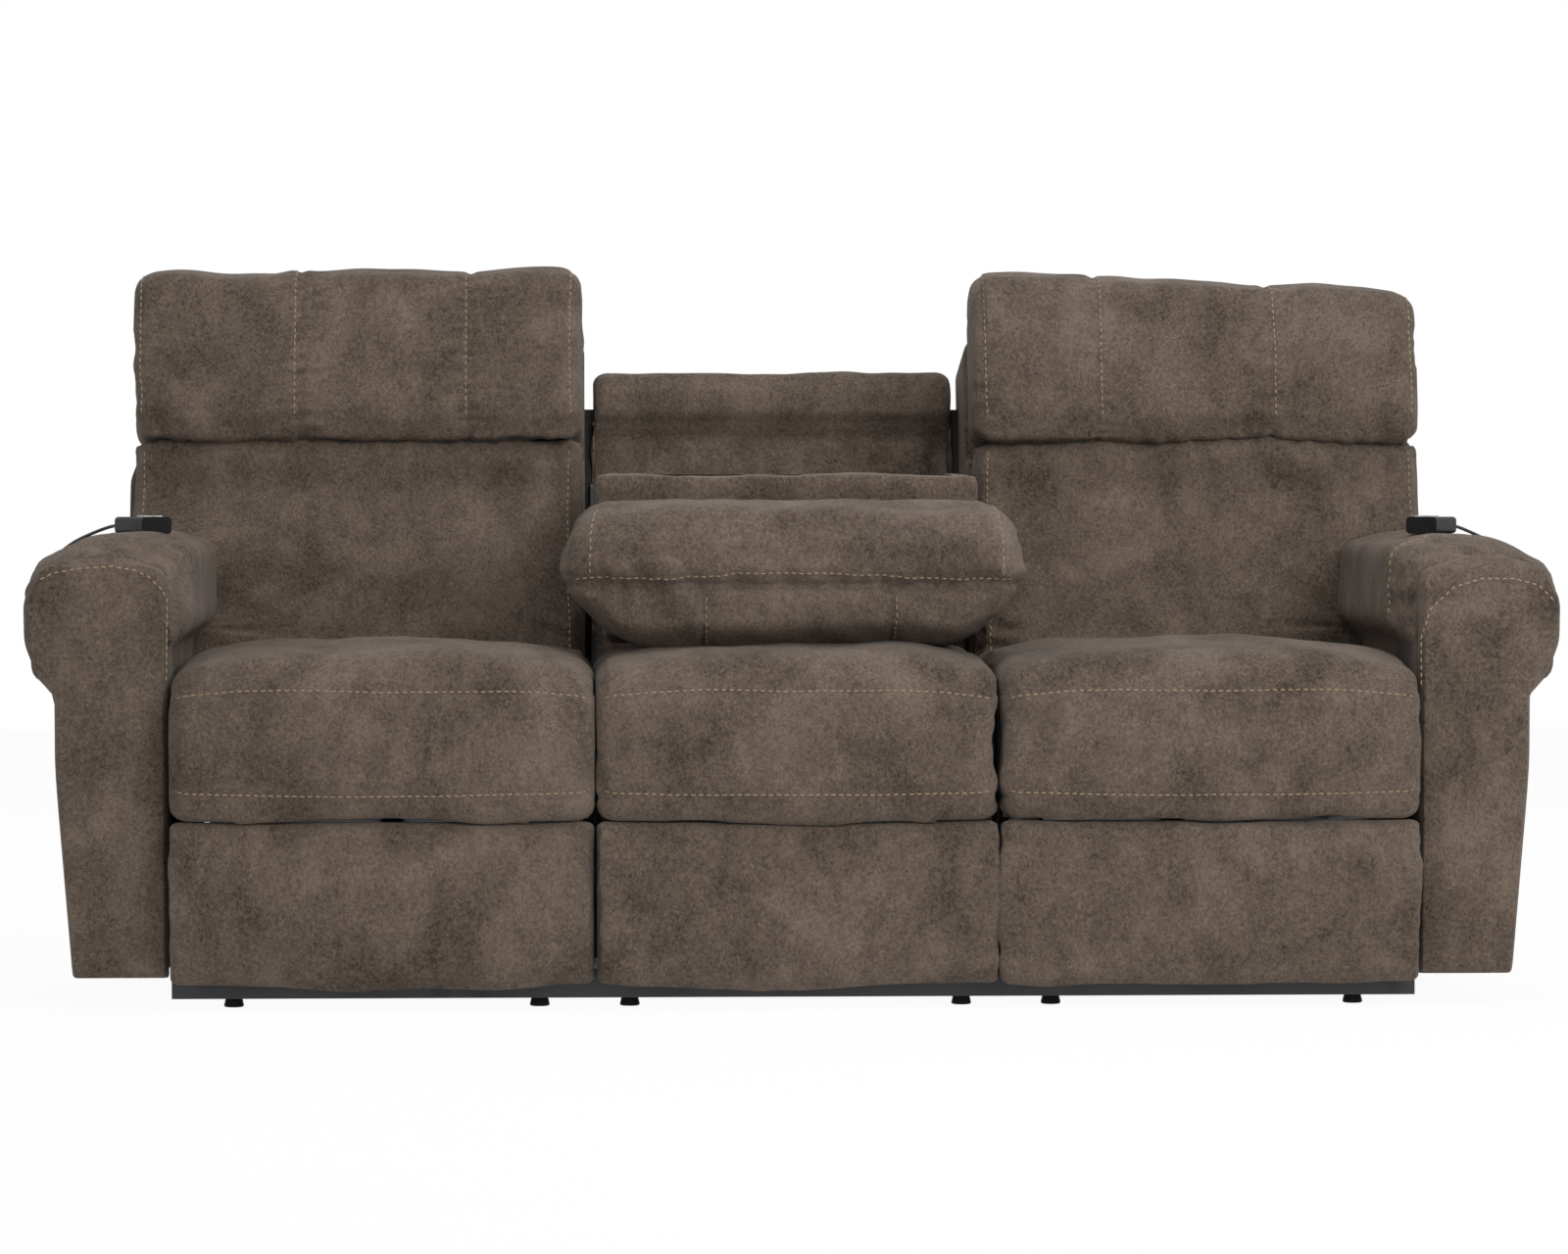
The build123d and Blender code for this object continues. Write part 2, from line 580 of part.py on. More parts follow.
CROSS_RODS = (-320.0, -5.0)
ROD_RADIUS = 8.0


def seat_cross_rods(side):
    """Rods between a moving seat's side plates, above the drive at its front and rear."""
    x = side * SEAT_MID
    reach = PLATE_OFFSET - STEEL / 2
    rods = []
    for y in CROSS_RODS:
        rods.append(rod_x(ROD_RADIUS, x - reach, x + reach, y, ACTUATOR_Z + 12 + ROD_RADIUS))
    return rods


# ---------------------------------------------------------------- backs
def outer_span(side, inner, outer):
    """Low and high x of a piece on one side, from its inner and outer distances."""
    return sorted((side * inner, side * outer))


def t_outline(side, inner, outer, bottom, top, radius):
    """Front outline of an outer back: narrow between the arms, wide above them."""
    corners = [(inner, bottom, radius), (BACK_NARROW, bottom, radius), (BACK_NARROW, WING_BOTTOM, 8),
               (outer, WING_BOTTOM, 20), (outer, top, 34), (inner, top, 34)]
    corners = [(side * x, z, r) for x, z, r in corners]
    return rounded_face(corners)


HINGE_OFFSET = 150.0
HEAD_PIN = 4.0


def lumbar_cushion(side):
    """Back cushion from the seat to the crease, fullest at its middle height, and its side wing."""
    low, high = outer_span(side, BACK_INNER, BACK_OUTER)
    front = leaning_front(t_outline(side, BACK_INNER + 2, BACK_OUTER - 8, 30, CREASE - 3, 12),
                          LUMBAR_FRONT - 10, LUMBAR_REAR)
    profile = rounded_face([(LUMBAR_REAR, 30, 0), (LUMBAR_FRONT + 16, 30, 22), (LUMBAR_FRONT, 120, 260),
                            (LUMBAR_FRONT, 380, 260), (LUMBAR_FRONT + 12, CREASE - 3, 30),
                            (LUMBAR_REAR, CREASE - 3, 0)])
    cushion = front & leaning_side(profile, low, high)
    for direction in (-1, 1):
        x = side * SEAT_MID + direction * HINGE_OFFSET
        cushion -= leaning_front(rounded_face(corners_of(x - 10, x + 10, CREASE - 24, CREASE, 0)),
                                 LUMBAR_FRONT - 10, LUMBAR_REAR)
    face = corners_of(LUMBAR_FRONT - 10, LUMBAR_REAR, WING_BOTTOM - 12, CREASE, 0)
    wing = leaning_side(rounded_face(face),
                        *outer_span(side, BACK_NARROW, BACK_OUTER))
    return [cushion - wing, cushion & wing]


def headrest_cushion(side):
    """Pillow headrest in three lobes between two sewn valleys, on a V-shaped crease."""
    inner, outer = BACK_INNER + 3, BACK_OUTER - 2
    low, high = outer_span(side, inner, outer)
    profile = rounded_face([(HEAD_REAR, CREASE + 3, 6), (CREASE_FRONT, CREASE + 3, 3),
                            (HEAD_FRONT + 6, CREASE + 40, 34), (HEAD_FRONT, 620, 200),
                            (HEAD_FRONT + 18, HEAD_TOP - 6, 58), (-20, HEAD_TOP + 6, 170),
                            (HEAD_REAR, HEAD_TOP - 30, 46)])
    outline = rounded_face(corners_of(low, high, CREASE, HEAD_TOP, 34))
    lobe = (outer - inner) / 3
    valleys = [low + lobe * index for index in range(4)]
    plan_corners = [(high, HEAD_REAR, 0), (low, HEAD_REAR, 0)]
    for index in range(3):
        start, end = valleys[index], valleys[index + 1]
        plan_corners.append((start, HEAD_FRONT + (16 if index == 0 else 9), 14 if index == 0 else 0))
        plan_corners.append(((start + end) / 2, HEAD_FRONT - 8, 520))
    plan_corners.append((high, HEAD_FRONT + 16, 14))
    cushion = leaning_side(profile, low, high) & leaning_front(outline, HEAD_FRONT - 20, HEAD_REAR)
    cushion &= leaning_plan(rounded_face(plan_corners), CREASE, HEAD_TOP + 20)
    for direction in (-1, 1):
        x = side * SEAT_MID + direction * HINGE_OFFSET
        slot = rounded_face(corners_of(x - 10, x + 10, CREASE, CREASE + 24, 0))
        cushion -= leaning_front(slot, CREASE_FRONT - 16, HEAD_REAR)
    return [cushion]


def headrest_frame(side):
    """Steel plate behind a headrest pillow, with two arms forward to the crease hinge."""
    middle = side * SEAT_MID
    plate = leaning_front(rounded_face(corners_of(middle - 200, middle + 200, CREASE + 6, 720, 20)),
                          HEAD_REAR, HEAD_REAR + 4)
    pieces = [plate]
    for direction in (-1, 1):
        x = middle + direction * HINGE_OFFSET - 4
        arm = rounded_face([(CREASE_FRONT, CREASE + 8, 0), (HEAD_REAR, CREASE + 8, 0),
                            (HEAD_REAR, CREASE + 22, 0), (CREASE_FRONT, CREASE + 22, 6)])
        arm += Pos(CREASE_FRONT, CREASE) * Circle(9)
        arm += Pos(CREASE_FRONT, CREASE + 9) * Rectangle(18, 18)
        arm -= Pos(CREASE_FRONT, CREASE) * Circle(HEAD_PIN + FIT)
        pieces.append(leaning_side(arm, x - 3, x + 3))
    return pieces


def headrest_brackets(side):
    """Fixed arms of the crease hinge, with its pins, screwed to the back frame's top rail."""
    middle = side * SEAT_MID
    pieces = []
    for direction in (-1, 1):
        x = middle + direction * HINGE_OFFSET + 4
        arm = rounded_face([(CREASE_FRONT, CREASE - 22, 6), (BACK_FRAME_FRONT, CREASE - 22, 0),
                            (BACK_FRAME_FRONT, CREASE - 8, 0), (CREASE_FRONT, CREASE - 8, 0)])
        arm += Pos(CREASE_FRONT, CREASE) * Circle(9)
        arm += Pos(CREASE_FRONT, CREASE - 9) * Rectangle(18, 18)
        pieces.append(leaning_side(arm, x - 3, x + 3))
        angle = radians(LEAN)
        seat = Plane(origin=lean_point(CREASE_FRONT, CREASE, x - 3), x_dir=(0, cos(angle), -sin(angle)),
                     z_dir=(-1, 0, 0))
        pieces.append(extrude(seat * Circle(HEAD_PIN), 9))
    return pieces


BACK_FRAME_FRONT = LUMBAR_REAR + FIT
BACK_FRAME_REAR = BACK_FRAME_FRONT + 36
POST_WIDTH = 30.0
POST_BOTTOM = 40.0
BACK_RAIL = 50.0
BACK_RAIL_BOTTOMS = (60.0, 250.0, CREASE - 54)


def back_frame(side):
    """Timber ladder of an outer back: two posts and three rails."""
    low, high = outer_span(side, BACK_INNER + BACK_SHELL, BACK_NARROW - BACK_SHELL)
    pieces = []
    for start in (low, high - POST_WIDTH):
        face = rounded_face(corners_of(BACK_FRAME_FRONT, BACK_FRAME_REAR, POST_BOTTOM, CREASE - 4, 0))
        pieces.append(leaning_side(face, start, start + POST_WIDTH))
    for bottom in BACK_RAIL_BOTTOMS:
        face = rounded_face(corners_of(BACK_FRAME_FRONT, BACK_FRAME_REAR, bottom, bottom + BACK_RAIL, 0))
        pieces.append(leaning_side(face, low + POST_WIDTH, high - POST_WIDTH))
    return pieces


def recline_brackets(side):
    """Steel straps from the recline pins up to the back frame's bottom rail."""
    pieces = []
    for direction in (-1, 1):
        x = side * SEAT_MID + direction * (PLATE_OFFSET - STEEL - PLATE_GAP)
        face = rounded_face([(-20, -20, 19), (20, -20, 19), (BACK_FRAME_REAR, 36, 10),
                             (BACK_FRAME_REAR, BACK_RAIL_BOTTOMS[0], 0),
                             (BACK_FRAME_FRONT, BACK_RAIL_BOTTOMS[0], 0),
                             (BACK_FRAME_FRONT, 22, 6), (-20, 20, 16)])
        face -= Circle(PIN_RADIUS + FIT)
        pieces.append(leaning_side(face, x - STEEL / 2, x + STEEL / 2))
    return pieces


def back_shell(side):
    """Outer back: a shell open at its front, rounded along its top and rear edges."""
    low, high = outer_span(side, BACK_INNER, BACK_OUTER)
    front = BACK_FRAME_FRONT
    profile = rounded_face([(front, BACK_BOTTOM + 60, 0), (front + 80, BACK_BOTTOM, 0),
                            (BACK_REAR - 8, BACK_BOTTOM, 20), (BACK_REAR, 120, 900),
                            (BACK_REAR, BACK_TOP, REAR_ROUND), (HEAD_REAR + 12, BACK_TOP, 18),
                            (HEAD_REAR + 12, CREASE - 1, 0), (front, CREASE - 1, 0)])
    inner_profile = rounded_face([(front - 5, BACK_BOTTOM - 5, 0),
                                  (BACK_REAR - BACK_SHELL - 8, BACK_BOTTOM - 5, 0),
                                  (BACK_REAR - BACK_SHELL, 120, 900),
                                  (BACK_REAR - BACK_SHELL, BACK_TOP - BACK_SHELL, 30),
                                  (HEAD_REAR + 26, BACK_TOP - BACK_SHELL, 8),
                                  (HEAD_REAR + 26, CREASE + 20, 0), (front - 5, CREASE + 20, 0)])
    shell = leaning_side(profile, low, high)
    shell &= leaning_front(t_outline(side, BACK_INNER, BACK_OUTER, BACK_BOTTOM, BACK_TOP, 10),
                           front, BACK_REAR)
    wall = BACK_SHELL
    hollow = leaning_side(inner_profile, low + wall, high - wall)
    corners = [(BACK_INNER + wall, BACK_BOTTOM - 5, 0), (BACK_NARROW - wall, BACK_BOTTOM - 5, 0),
               (BACK_NARROW - wall, WING_BOTTOM + wall, 0), (BACK_OUTER - wall, WING_BOTTOM + wall, 10),
               (BACK_OUTER - wall, BACK_TOP - wall, 20), (BACK_INNER + wall, BACK_TOP - wall, 20)]
    corners = [(side * x, z, r) for x, z, r in corners]
    outline = rounded_face(corners)
    hollow &= leaning_front(outline, front - 5, BACK_REAR - wall)
    return [shell - hollow]


# ---------------------------------------------------------------- middle seat, back and console
def middle_back_cover():
    """Fixed middle back: a flat recessed face under a padded roll."""
    profile = rounded_face([(FIXED_FRONT, -60, 0), (BACK_REAR - 8, -60, 0), (BACK_REAR, 120, 900),
                            (BACK_REAR, FIXED_TOP - 12, 40), (170, FIXED_TOP + 6, 60),
                            (FIXED_ROLL, FIXED_TOP - 20, 26), (FIXED_ROLL, 574, 16),
                            (FIXED_FRONT, 552, 12)])
    cover = leaning_side(profile, -FIXED_HALF, FIXED_HALF)
    outline = rounded_face(corners_of(-FIXED_HALF, FIXED_HALF, -60, FIXED_TOP + 2, 14))
    cover &= leaning_front(outline, FIXED_ROLL - 5, BACK_REAR)
    pocket = rounded_face(corners_of(-MIDDLE_POST, MIDDLE_POST, -61, 500, 0))
    return [cover - leaning_front(pocket, MIDDLE_FRAME_FRONT, MIDDLE_FRAME_FRONT + 30)]


MIDDLE_POST = 250.0
MIDDLE_FRAME_FRONT = FIXED_FRONT + 16


def middle_back_frame():
    """Timber posts and rails inside the middle back."""
    rear = MIDDLE_FRAME_FRONT + 30
    pieces = []
    for x in (-MIDDLE_POST + 20, MIDDLE_POST - 20):
        face = rounded_face(corners_of(MIDDLE_FRAME_FRONT, rear, -60, 500, 0))
        pieces.append(leaning_side(face, x - 20, x + 20))
    for bottom in (-60, 450):
        face = rounded_face(corners_of(MIDDLE_FRAME_FRONT, rear, bottom, bottom + 50, 0))
        pieces.append(leaning_side(face, -MIDDLE_POST + 40, MIDDLE_POST - 40))
    return pieces


HINGE_PLATE_IN = FIXED_HALF
HINGE_PLATE = 5.0
CONSOLE_PIN = 7.0


def console_hinge_plates():
    """Steel side plates from the base's rear rail to the middle back, with the console's bearings."""
    pieces = []
    front = (RAIL_REAR - RAIL_WIDTH + 4, RAIL_TOP)
    rear = (RAIL_REAR - 4, RAIL_TOP)
    outline = [(front[0], front[1], 0), (rear[0], rear[1], 0), (rear[0] + 20, RAIL_TOP + 60, 30)]
    for across, along, radius in ((BACK_REAR - 24, -60, 30), (BACK_REAR - 18, 480, 20),
                                  (FIXED_FRONT + 4, 480, 12), (FIXED_FRONT + 4, 330, 40),
                                  (-15, 264, 22), (-66, 264, 24), (-66, 214, 24), (-15, 205, 22),
                                  (60, 120, 50)):
        point = lean_point(across, along)
        outline.append((point[1], point[2], radius))
    outline.append((front[0], RAIL_TOP + 140, 40))
    face = rounded_face(outline)
    face -= Pos(CONSOLE_Y, CONSOLE_Z) * Circle(CONSOLE_PIN + FIT)
    for along in (60, 190):
        point = lean_point(140, along)
        face -= Pos(point[1], point[2]) * Circle(28)
    for side in SIDES.values():
        low, high = outer_span(side, HINGE_PLATE_IN, HINGE_PLATE_IN + HINGE_PLATE)
        pieces.append(along_x(face, low, high))
    return pieces


FRAME_THICK = 18.0
FRAME_BOTTOM = CONSOLE_Z - FRAME_THICK / 2
SURROUND_FRONT = -165.0
SURROUND_REAR = 165.0
NECK_FRONT = 50.0
WELL_WALL = 38.0


def console_frame():
    """Plywood spine of the console with the hinge pins on steel bosses."""
    front = CONSOLE_Y - CONSOLE_REACH + 22
    spine = block(-250, 250, front, SURROUND_REAR - 4, FRAME_BOTTOM, FRAME_BOTTOM + FRAME_THICK)
    pieces = [spine]
    for side in SIDES.values():
        low, high = outer_span(side, 250, CONSOLE_NECK)
        pieces.append(block(low, high, CONSOLE_Y - 14, CONSOLE_Y + 14, FRAME_BOTTOM,
                            FRAME_BOTTOM + FRAME_THICK))
        low, high = outer_span(side, CONSOLE_NECK, HINGE_PLATE_IN + HINGE_PLATE + 1)
        pieces.append(rod_x(CONSOLE_PIN, low, high, CONSOLE_Y, CONSOLE_Z))
    return pieces


def console_surround():
    """Upholstered box round the tray, narrower between the hinge plates."""
    half, neck = CONSOLE_HALF, CONSOLE_NECK
    plan = rounded_face([(-half, SURROUND_FRONT, 12), (half, SURROUND_FRONT, 12), (half, NECK_FRONT, 10),
                         (neck, NECK_FRONT + 14, 8), (neck, SURROUND_REAR, 12),
                         (-neck, SURROUND_REAR, 12), (-neck, NECK_FRONT + 14, 8),
                         (-half, NECK_FRONT, 10)])
    bottom = FRAME_BOTTOM + FRAME_THICK
    side = rounded_face([(SURROUND_FRONT, bottom, 0), (SURROUND_REAR, bottom, 0),
                         (SURROUND_REAR, CONSOLE_TOP, 14), (SURROUND_FRONT, CONSOLE_TOP, 14)])
    box = along_z(plan, bottom, CONSOLE_TOP) & along_x(side, -half, half)
    well = rounded_face(corners_of(-CONSOLE_NECK + WELL_WALL, CONSOLE_NECK - WELL_WALL,
                                   SURROUND_FRONT + WELL_WALL, SURROUND_REAR - WELL_WALL, 16))
    return [box - along_z(well, bottom, CONSOLE_TOP)]


TRAY_LIP = 4.0
TRAY_FLOOR = CONSOLE_TOP - 34.0
TRAY_WALL = 4.0


def console_tray():
    """Moulded tray let into the surround, with two cup holders and a long dish between them."""
    half = CONSOLE_NECK - WELL_WALL - FIT
    front, rear = SURROUND_FRONT + WELL_WALL + FIT, SURROUND_REAR - WELL_WALL - FIT
    middle = (front + rear) / 2
    lip = rounded_face(corners_of(-half - 12, half + 12, front - 12, rear + 12, 22))
    tray = along_z(lip, CONSOLE_TOP, CONSOLE_TOP + TRAY_LIP)
    tray += along_z(rounded_face(corners_of(-half, half, front, rear, 15.5)),
                    TRAY_FLOOR - TRAY_WALL, CONSOLE_TOP)
    inner = rounded_face(corners_of(-half + TRAY_WALL, half - TRAY_WALL, front + TRAY_WALL,
                                    rear - TRAY_WALL, 12))
    tray -= along_z(inner, TRAY_FLOOR, CONSOLE_TOP + TRAY_LIP)
    for side in SIDES.values():
        place = Pos(side * CUP_PITCH / 2, middle, TRAY_FLOOR)
        cup = place * Cylinder(CUP_RADIUS + TRAY_WALL, CUP_DEPTH + TRAY_WALL,
                               align=(Align.CENTER, Align.CENTER, Align.MAX))
        tray += cup
        tray -= place * Cylinder(CUP_RADIUS, CUP_DEPTH, align=(Align.CENTER, Align.CENTER, Align.MAX))
    return [tray]


def console_cushion():
    """Padding of the console's underside, which is the middle seat's backrest when it is raised."""
    front = CONSOLE_Y - CONSOLE_REACH + PILLOW_DEPTH + SOFT_GAP
    rear = SURROUND_REAR + 22
    top = FRAME_BOTTOM
    side = rounded_face([(front, CONSOLE_BOTTOM + 12, 14), (-60, CONSOLE_BOTTOM, 500),
                         (rear - 20, CONSOLE_BOTTOM + 8, 30), (rear, top - 12, 20),
                         (rear - 10, top, 6), (front, top, 0)])
    half = CONSOLE_NECK
    plan = rounded_face(corners_of(-half, half, front, rear, 14))
    return [along_x(side, -half, half) & along_z(plan, CONSOLE_BOTTOM - 5, top)]


def console_pillow():
    """Headrest pillow of the console, its end face in three lobes either side of a middle seam."""
    front = CONSOLE_Y - CONSOLE_REACH
    rear = front + PILLOW_DEPTH
    low, high, seam = CONSOLE_BOTTOM, PILLOW_TOP, 614.0
    side = rounded_face([(rear, low + 14, 16), (front + 40, low, 50), (front + 2, low + 40, 55),
                         (front + 12, seam, 0), (front - 2, high - 60, 60), (front + 34, high, 50),
                         (rear, high - 4, 20)])
    outline = rounded_face([(-PILLOW_HALF + 26, low, 40), (PILLOW_HALF - 26, low, 40),
                            (PILLOW_HALF, low + 60, 60), (PILLOW_HALF - 10, seam, 0),
                            (PILLOW_HALF, high - 50, 60), (PILLOW_HALF - 30, high + 2, 50),
                            (-PILLOW_HALF + 30, high + 2, 50), (-PILLOW_HALF, high - 50, 60),
                            (-PILLOW_HALF + 10, seam, 0), (-PILLOW_HALF, low + 60, 60)])
    pillow = along_x(side, -PILLOW_HALF, PILLOW_HALF) & along_y(outline, front - 5, rear)
    spine = block(-250, 250, front + 22, rear, FRAME_BOTTOM, FRAME_BOTTOM + FRAME_THICK)
    return [pillow - spine]


# ---------------------------------------------------------------- handsets and cords
HANDSET_BOTTOM = ARM_TOP + FIT
BUTTON_PITCH = 15.0
BUTTON_FRONT = -40.0
SHELL_WALL = 3.0
RELIEF_LENGTH = 12.0
BUTTONS = ("recline_open", "recline_close", "headrest_up", "headrest_down")


def at_handset(side):
    """Place of a handset: its cord end points backwards and outwards."""
    return Pos(side * HANDSET_X, HANDSET_Y, HANDSET_BOTTOM) * Rot(0, 0, -side * HANDSET_YAW)


def button_place(index):
    """Middle of a button on the handset's top face, in a two by two block."""
    return ((index % 2 - 0.5) * BUTTON_PITCH * 1.2, BUTTON_FRONT + (index // 2) * BUTTON_PITCH * 1.3)


def handset_casing(side):
    """Moulded handset, rounded along its length, with four button wells."""
    body = Pos(0, 0, HANDSET_HEIGHT / 2) * Box(HANDSET_WIDTH, HANDSET_LENGTH, HANDSET_HEIGHT)
    body = fillet(body.edges().filter_by(Axis.Y), 6)
    body = fillet(body.edges().group_by(Axis.Y)[-1], 3)
    for index in range(len(BUTTONS)):
        x, y = button_place(index)
        well = Pos(x, y, HANDSET_HEIGHT) * extrude(SlotOverall(14 + 2 * FIT, 9 + 2 * FIT), -6)
        body -= well
    return [at_handset(side) * body]


def handset_button(side, index):
    """Oval button that stands proud of its well by more than its travel."""
    x, y = button_place(index)
    button = extrude(SlotOverall(14, 9), 6.3)
    button = fillet(button.edges().group_by(Axis.Z)[-1], 0.8)
    return [at_handset(side) * Pos(x, y, HANDSET_HEIGHT - 6 + BUTTON_TRAVEL + 0.5) * button]


def handset_reliefs():
    """Tapered strain reliefs where the cords leave the handsets."""
    reliefs = []
    for side in SIDES.values():
        taper = Cone(6, CORD_DIAMETER / 2 + 1.2, RELIEF_LENGTH, align=(Align.CENTER, Align.CENTER, Align.MIN))
        place = at_handset(side) * Pos(0, HANDSET_LENGTH / 2, HANDSET_HEIGHT / 2) * Rot(-90, 0, 0)
        reliefs.append(place * taper)
    return reliefs


def cord_exit(side, beyond=0.0):
    """Point straight out of a handset's cord end, counted from the end of its strain relief."""
    reach = HANDSET_LENGTH / 2 + RELIEF_LENGTH + beyond
    yaw = radians(HANDSET_YAW)
    return (side * (HANDSET_X + reach * sin(yaw)), HANDSET_Y + reach * cos(yaw),
            HANDSET_BOTTOM + HANDSET_HEIGHT / 2)


GROMMET_X = 1008.0
GROMMET_Y = -5.0
GROMMET_DROP = 5.0


def cord_points(side):
    """Route of a handset cord: over the roll, down the outer panel, up under the arm."""
    between = ((1008, -134, 691), (1034, -110, 682), (1068, -94, 667), (1099, -83, 642),
               (1116, -72, 596), (1117, -62, 540), (1112, -53, 480), (1098, -44, 422),
               (1085, -36, 362), (1077, -30, 300), (1074, -22, 236), (1068, -18, 174),
               (1062, -10, 116), (1056, -8, 74), (1045, -6, 45), (1029, -5, 30))
    route = [cord_exit(side), cord_exit(side, 26)]
    route += [(side * x, y, z) for x, y, z in between]
    end_height = ARM_BOTTOM - GROMMET_DROP
    return route + [(side * GROMMET_X, GROMMET_Y, end_height - 22), (side * GROMMET_X, GROMMET_Y, end_height)]


def handset_cord(side):
    """Cord as a tube of straight runs joined by tangent arcs."""
    points = [Vector(*point) for point in cord_points(side)]
    radii = []
    for before, here, after in zip(points, points[1:], points[2:]):
        shorter = min((here - before).length, (after - here).length)
        turn = radians((here - before).get_angle(after - here))
        radii.append(0.45 * shorter / tan(turn / 2))
    path = FilletPolyline(*points, radius=radii)
    section = Plane(origin=path @ 0, z_dir=path % 0) * Circle(CORD_DIAMETER / 2)
    tube = sweep(section, path=path)
    expected = path.length * pi * CORD_DIAMETER ** 2 / 4
    print("cord", side, "length", round(path.length, 1), "tightest", round(min(radii), 1),
          "radii", [round(radius) for radius in radii], "volume ratio", round(tube.volume / expected, 4))
    return [tube]


def cord_grommets():
    """Grommets under the arms that the cords go into."""
    grommets = []
    for side in SIDES.values():
        place = Pos(side * GROMMET_X, GROMMET_Y, ARM_BOTTOM - GROMMET_DROP)
        flange = place * Cylinder(11, GROMMET_DROP, align=(Align.CENTER, Align.CENTER, Align.MIN))
        grommets.append(flange)
    return grommets


# ---------------------------------------------------------------- write the nodes
def build():
    os.makedirs("parts", exist_ok=True)
    nodes = {
        "base_long_rails": base_long_rails(),
        "base_cross_rails": base_cross_rails(),
        "base_side_panels": base_side_panels(),
        "glide_feet": glide_feet(),
        "mechanism_tracks": mechanism_tracks(),
        "arm_bolts": arm_bolts(),
        "middle_seat_frame": (seat_frame(0, MIDDLE_HALF - 8) + seat_webbing(0) + middle_seat_supports()
                              + footrest_board(-MIDDLE_HALF, MIDDLE_HALF)),
        "middle_seat_cushion": seat_cushion(-MIDDLE_HALF, MIDDLE_HALF),
        "middle_front_panel": footrest_pad(-MIDDLE_HALF, MIDDLE_HALF),
        "middle_back_cover": middle_back_cover(),
        "middle_back_frame": middle_back_frame(),
        "console_hinge_plates": console_hinge_plates(),
        "console_frame": console_frame(),
        "console_surround": console_surround(),
        "console_tray": console_tray(),
        "console_cushion": console_cushion(),
        "console_pillow": console_pillow(),
        "arm_frames": arm_frame(-1) + arm_frame(1),
        "arm_front_panels": arm_front_panel(-1) + arm_front_panel(1),
        "handset_casings": handset_casing(-1) + handset_casing(1),
        "handset_reliefs": handset_reliefs(),
        "cord_grommets": cord_grommets(),
    }
    for name, side in SIDES.items():
        low, high = outer_span(side, SEAT_INNER, SEAT_OUTER)
        nodes[name + "_arm_cover"] = arm_cover(side)
        middle = side * SEAT_MID
        nodes[name + "_seat_frame"] = seat_frame(middle, SEAT_HALF - 8) + seat_webbing(middle)
        nodes[name + "_seat_cushion"] = seat_cushion(low, high)
        nodes[name + "_seat_mechanism"] = (seat_slide_plates(side) + seat_cross_rods(side)
                                           + recliner_actuator(side) + recline_pins(side))
        nodes[name + "_drive_block"] = drive_block(side)
        nodes[name + "_footrest_lower_links"] = footrest_lower_links(side)
        nodes[name + "_footrest_upper_links"] = footrest_upper_links(side)
        nodes[name + "_footrest_board"] = footrest_board(low, high) + footrest_brackets(side)
        nodes[name + "_footrest_pad"] = footrest_pad(low, high)
        nodes[name + "_back_frame"] = back_frame(side) + recline_brackets(side) + headrest_brackets(side)
        nodes[name + "_back_shell"] = back_shell(side)
        nodes[name + "_lumbar_cushion"] = lumbar_cushion(side)
        nodes[name + "_headrest_frame"] = headrest_frame(side)
        nodes[name + "_headrest_cushion"] = headrest_cushion(side)
        nodes[name + "_handset_cord"] = handset_cord(side)
    for name, side in SIDES.items():
        for index, button in enumerate(BUTTONS):
            nodes[name + "_" + button + "_button"] = handset_button(side, index)
    for name, pieces in nodes.items():
        save(name, pieces)
    return nodes


NODES = build()
print(len(NODES), "nodes")
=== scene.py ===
import math

import bpy
import numpy as np
from bpy.props import FloatProperty, FloatVectorProperty, IntProperty, PointerProperty
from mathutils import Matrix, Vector


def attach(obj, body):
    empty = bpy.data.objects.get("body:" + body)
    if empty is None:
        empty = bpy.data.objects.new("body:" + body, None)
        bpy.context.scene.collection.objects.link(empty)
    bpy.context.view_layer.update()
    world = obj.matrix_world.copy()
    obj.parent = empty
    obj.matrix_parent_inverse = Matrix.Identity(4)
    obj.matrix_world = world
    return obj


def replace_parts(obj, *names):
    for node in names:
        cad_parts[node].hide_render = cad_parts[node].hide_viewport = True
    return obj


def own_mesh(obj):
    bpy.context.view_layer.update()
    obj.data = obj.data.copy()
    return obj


bl_info = {
    "name": "Console sofa looks",
    "version": (1, 0, 0),
    "blender": (4, 5, 0),
    "location": "3D View > Sidebar > Sofa",
    "description": "Upholstery, stitching, handset cords and stage round a reclining sofa's frame",
    "category": "Object",
}

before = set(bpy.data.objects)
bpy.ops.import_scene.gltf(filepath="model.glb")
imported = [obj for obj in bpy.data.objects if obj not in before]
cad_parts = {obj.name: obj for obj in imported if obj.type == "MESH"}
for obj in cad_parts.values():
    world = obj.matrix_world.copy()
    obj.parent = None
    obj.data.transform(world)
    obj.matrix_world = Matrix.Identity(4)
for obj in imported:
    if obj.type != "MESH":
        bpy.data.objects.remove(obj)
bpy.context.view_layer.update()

# Sizes that follow the frame, in metres. The front faces -Y, the origin is on the floor.
LEAN = math.radians(13)
RECLINE_Y, RECLINE_Z = 0.130, 0.330
BACK_INNER, BACK_OUTER, BACK_NARROW = 0.300, 1.008, 0.896
WING_BOTTOM, BACK_TOP = 0.096, 0.688
SEAT_SPANS = {"left": (-0.898, -0.291), "middle": (-0.289, 0.289), "right": (0.291, 0.898)}
SIDES = {"left": -1, "right": 1}


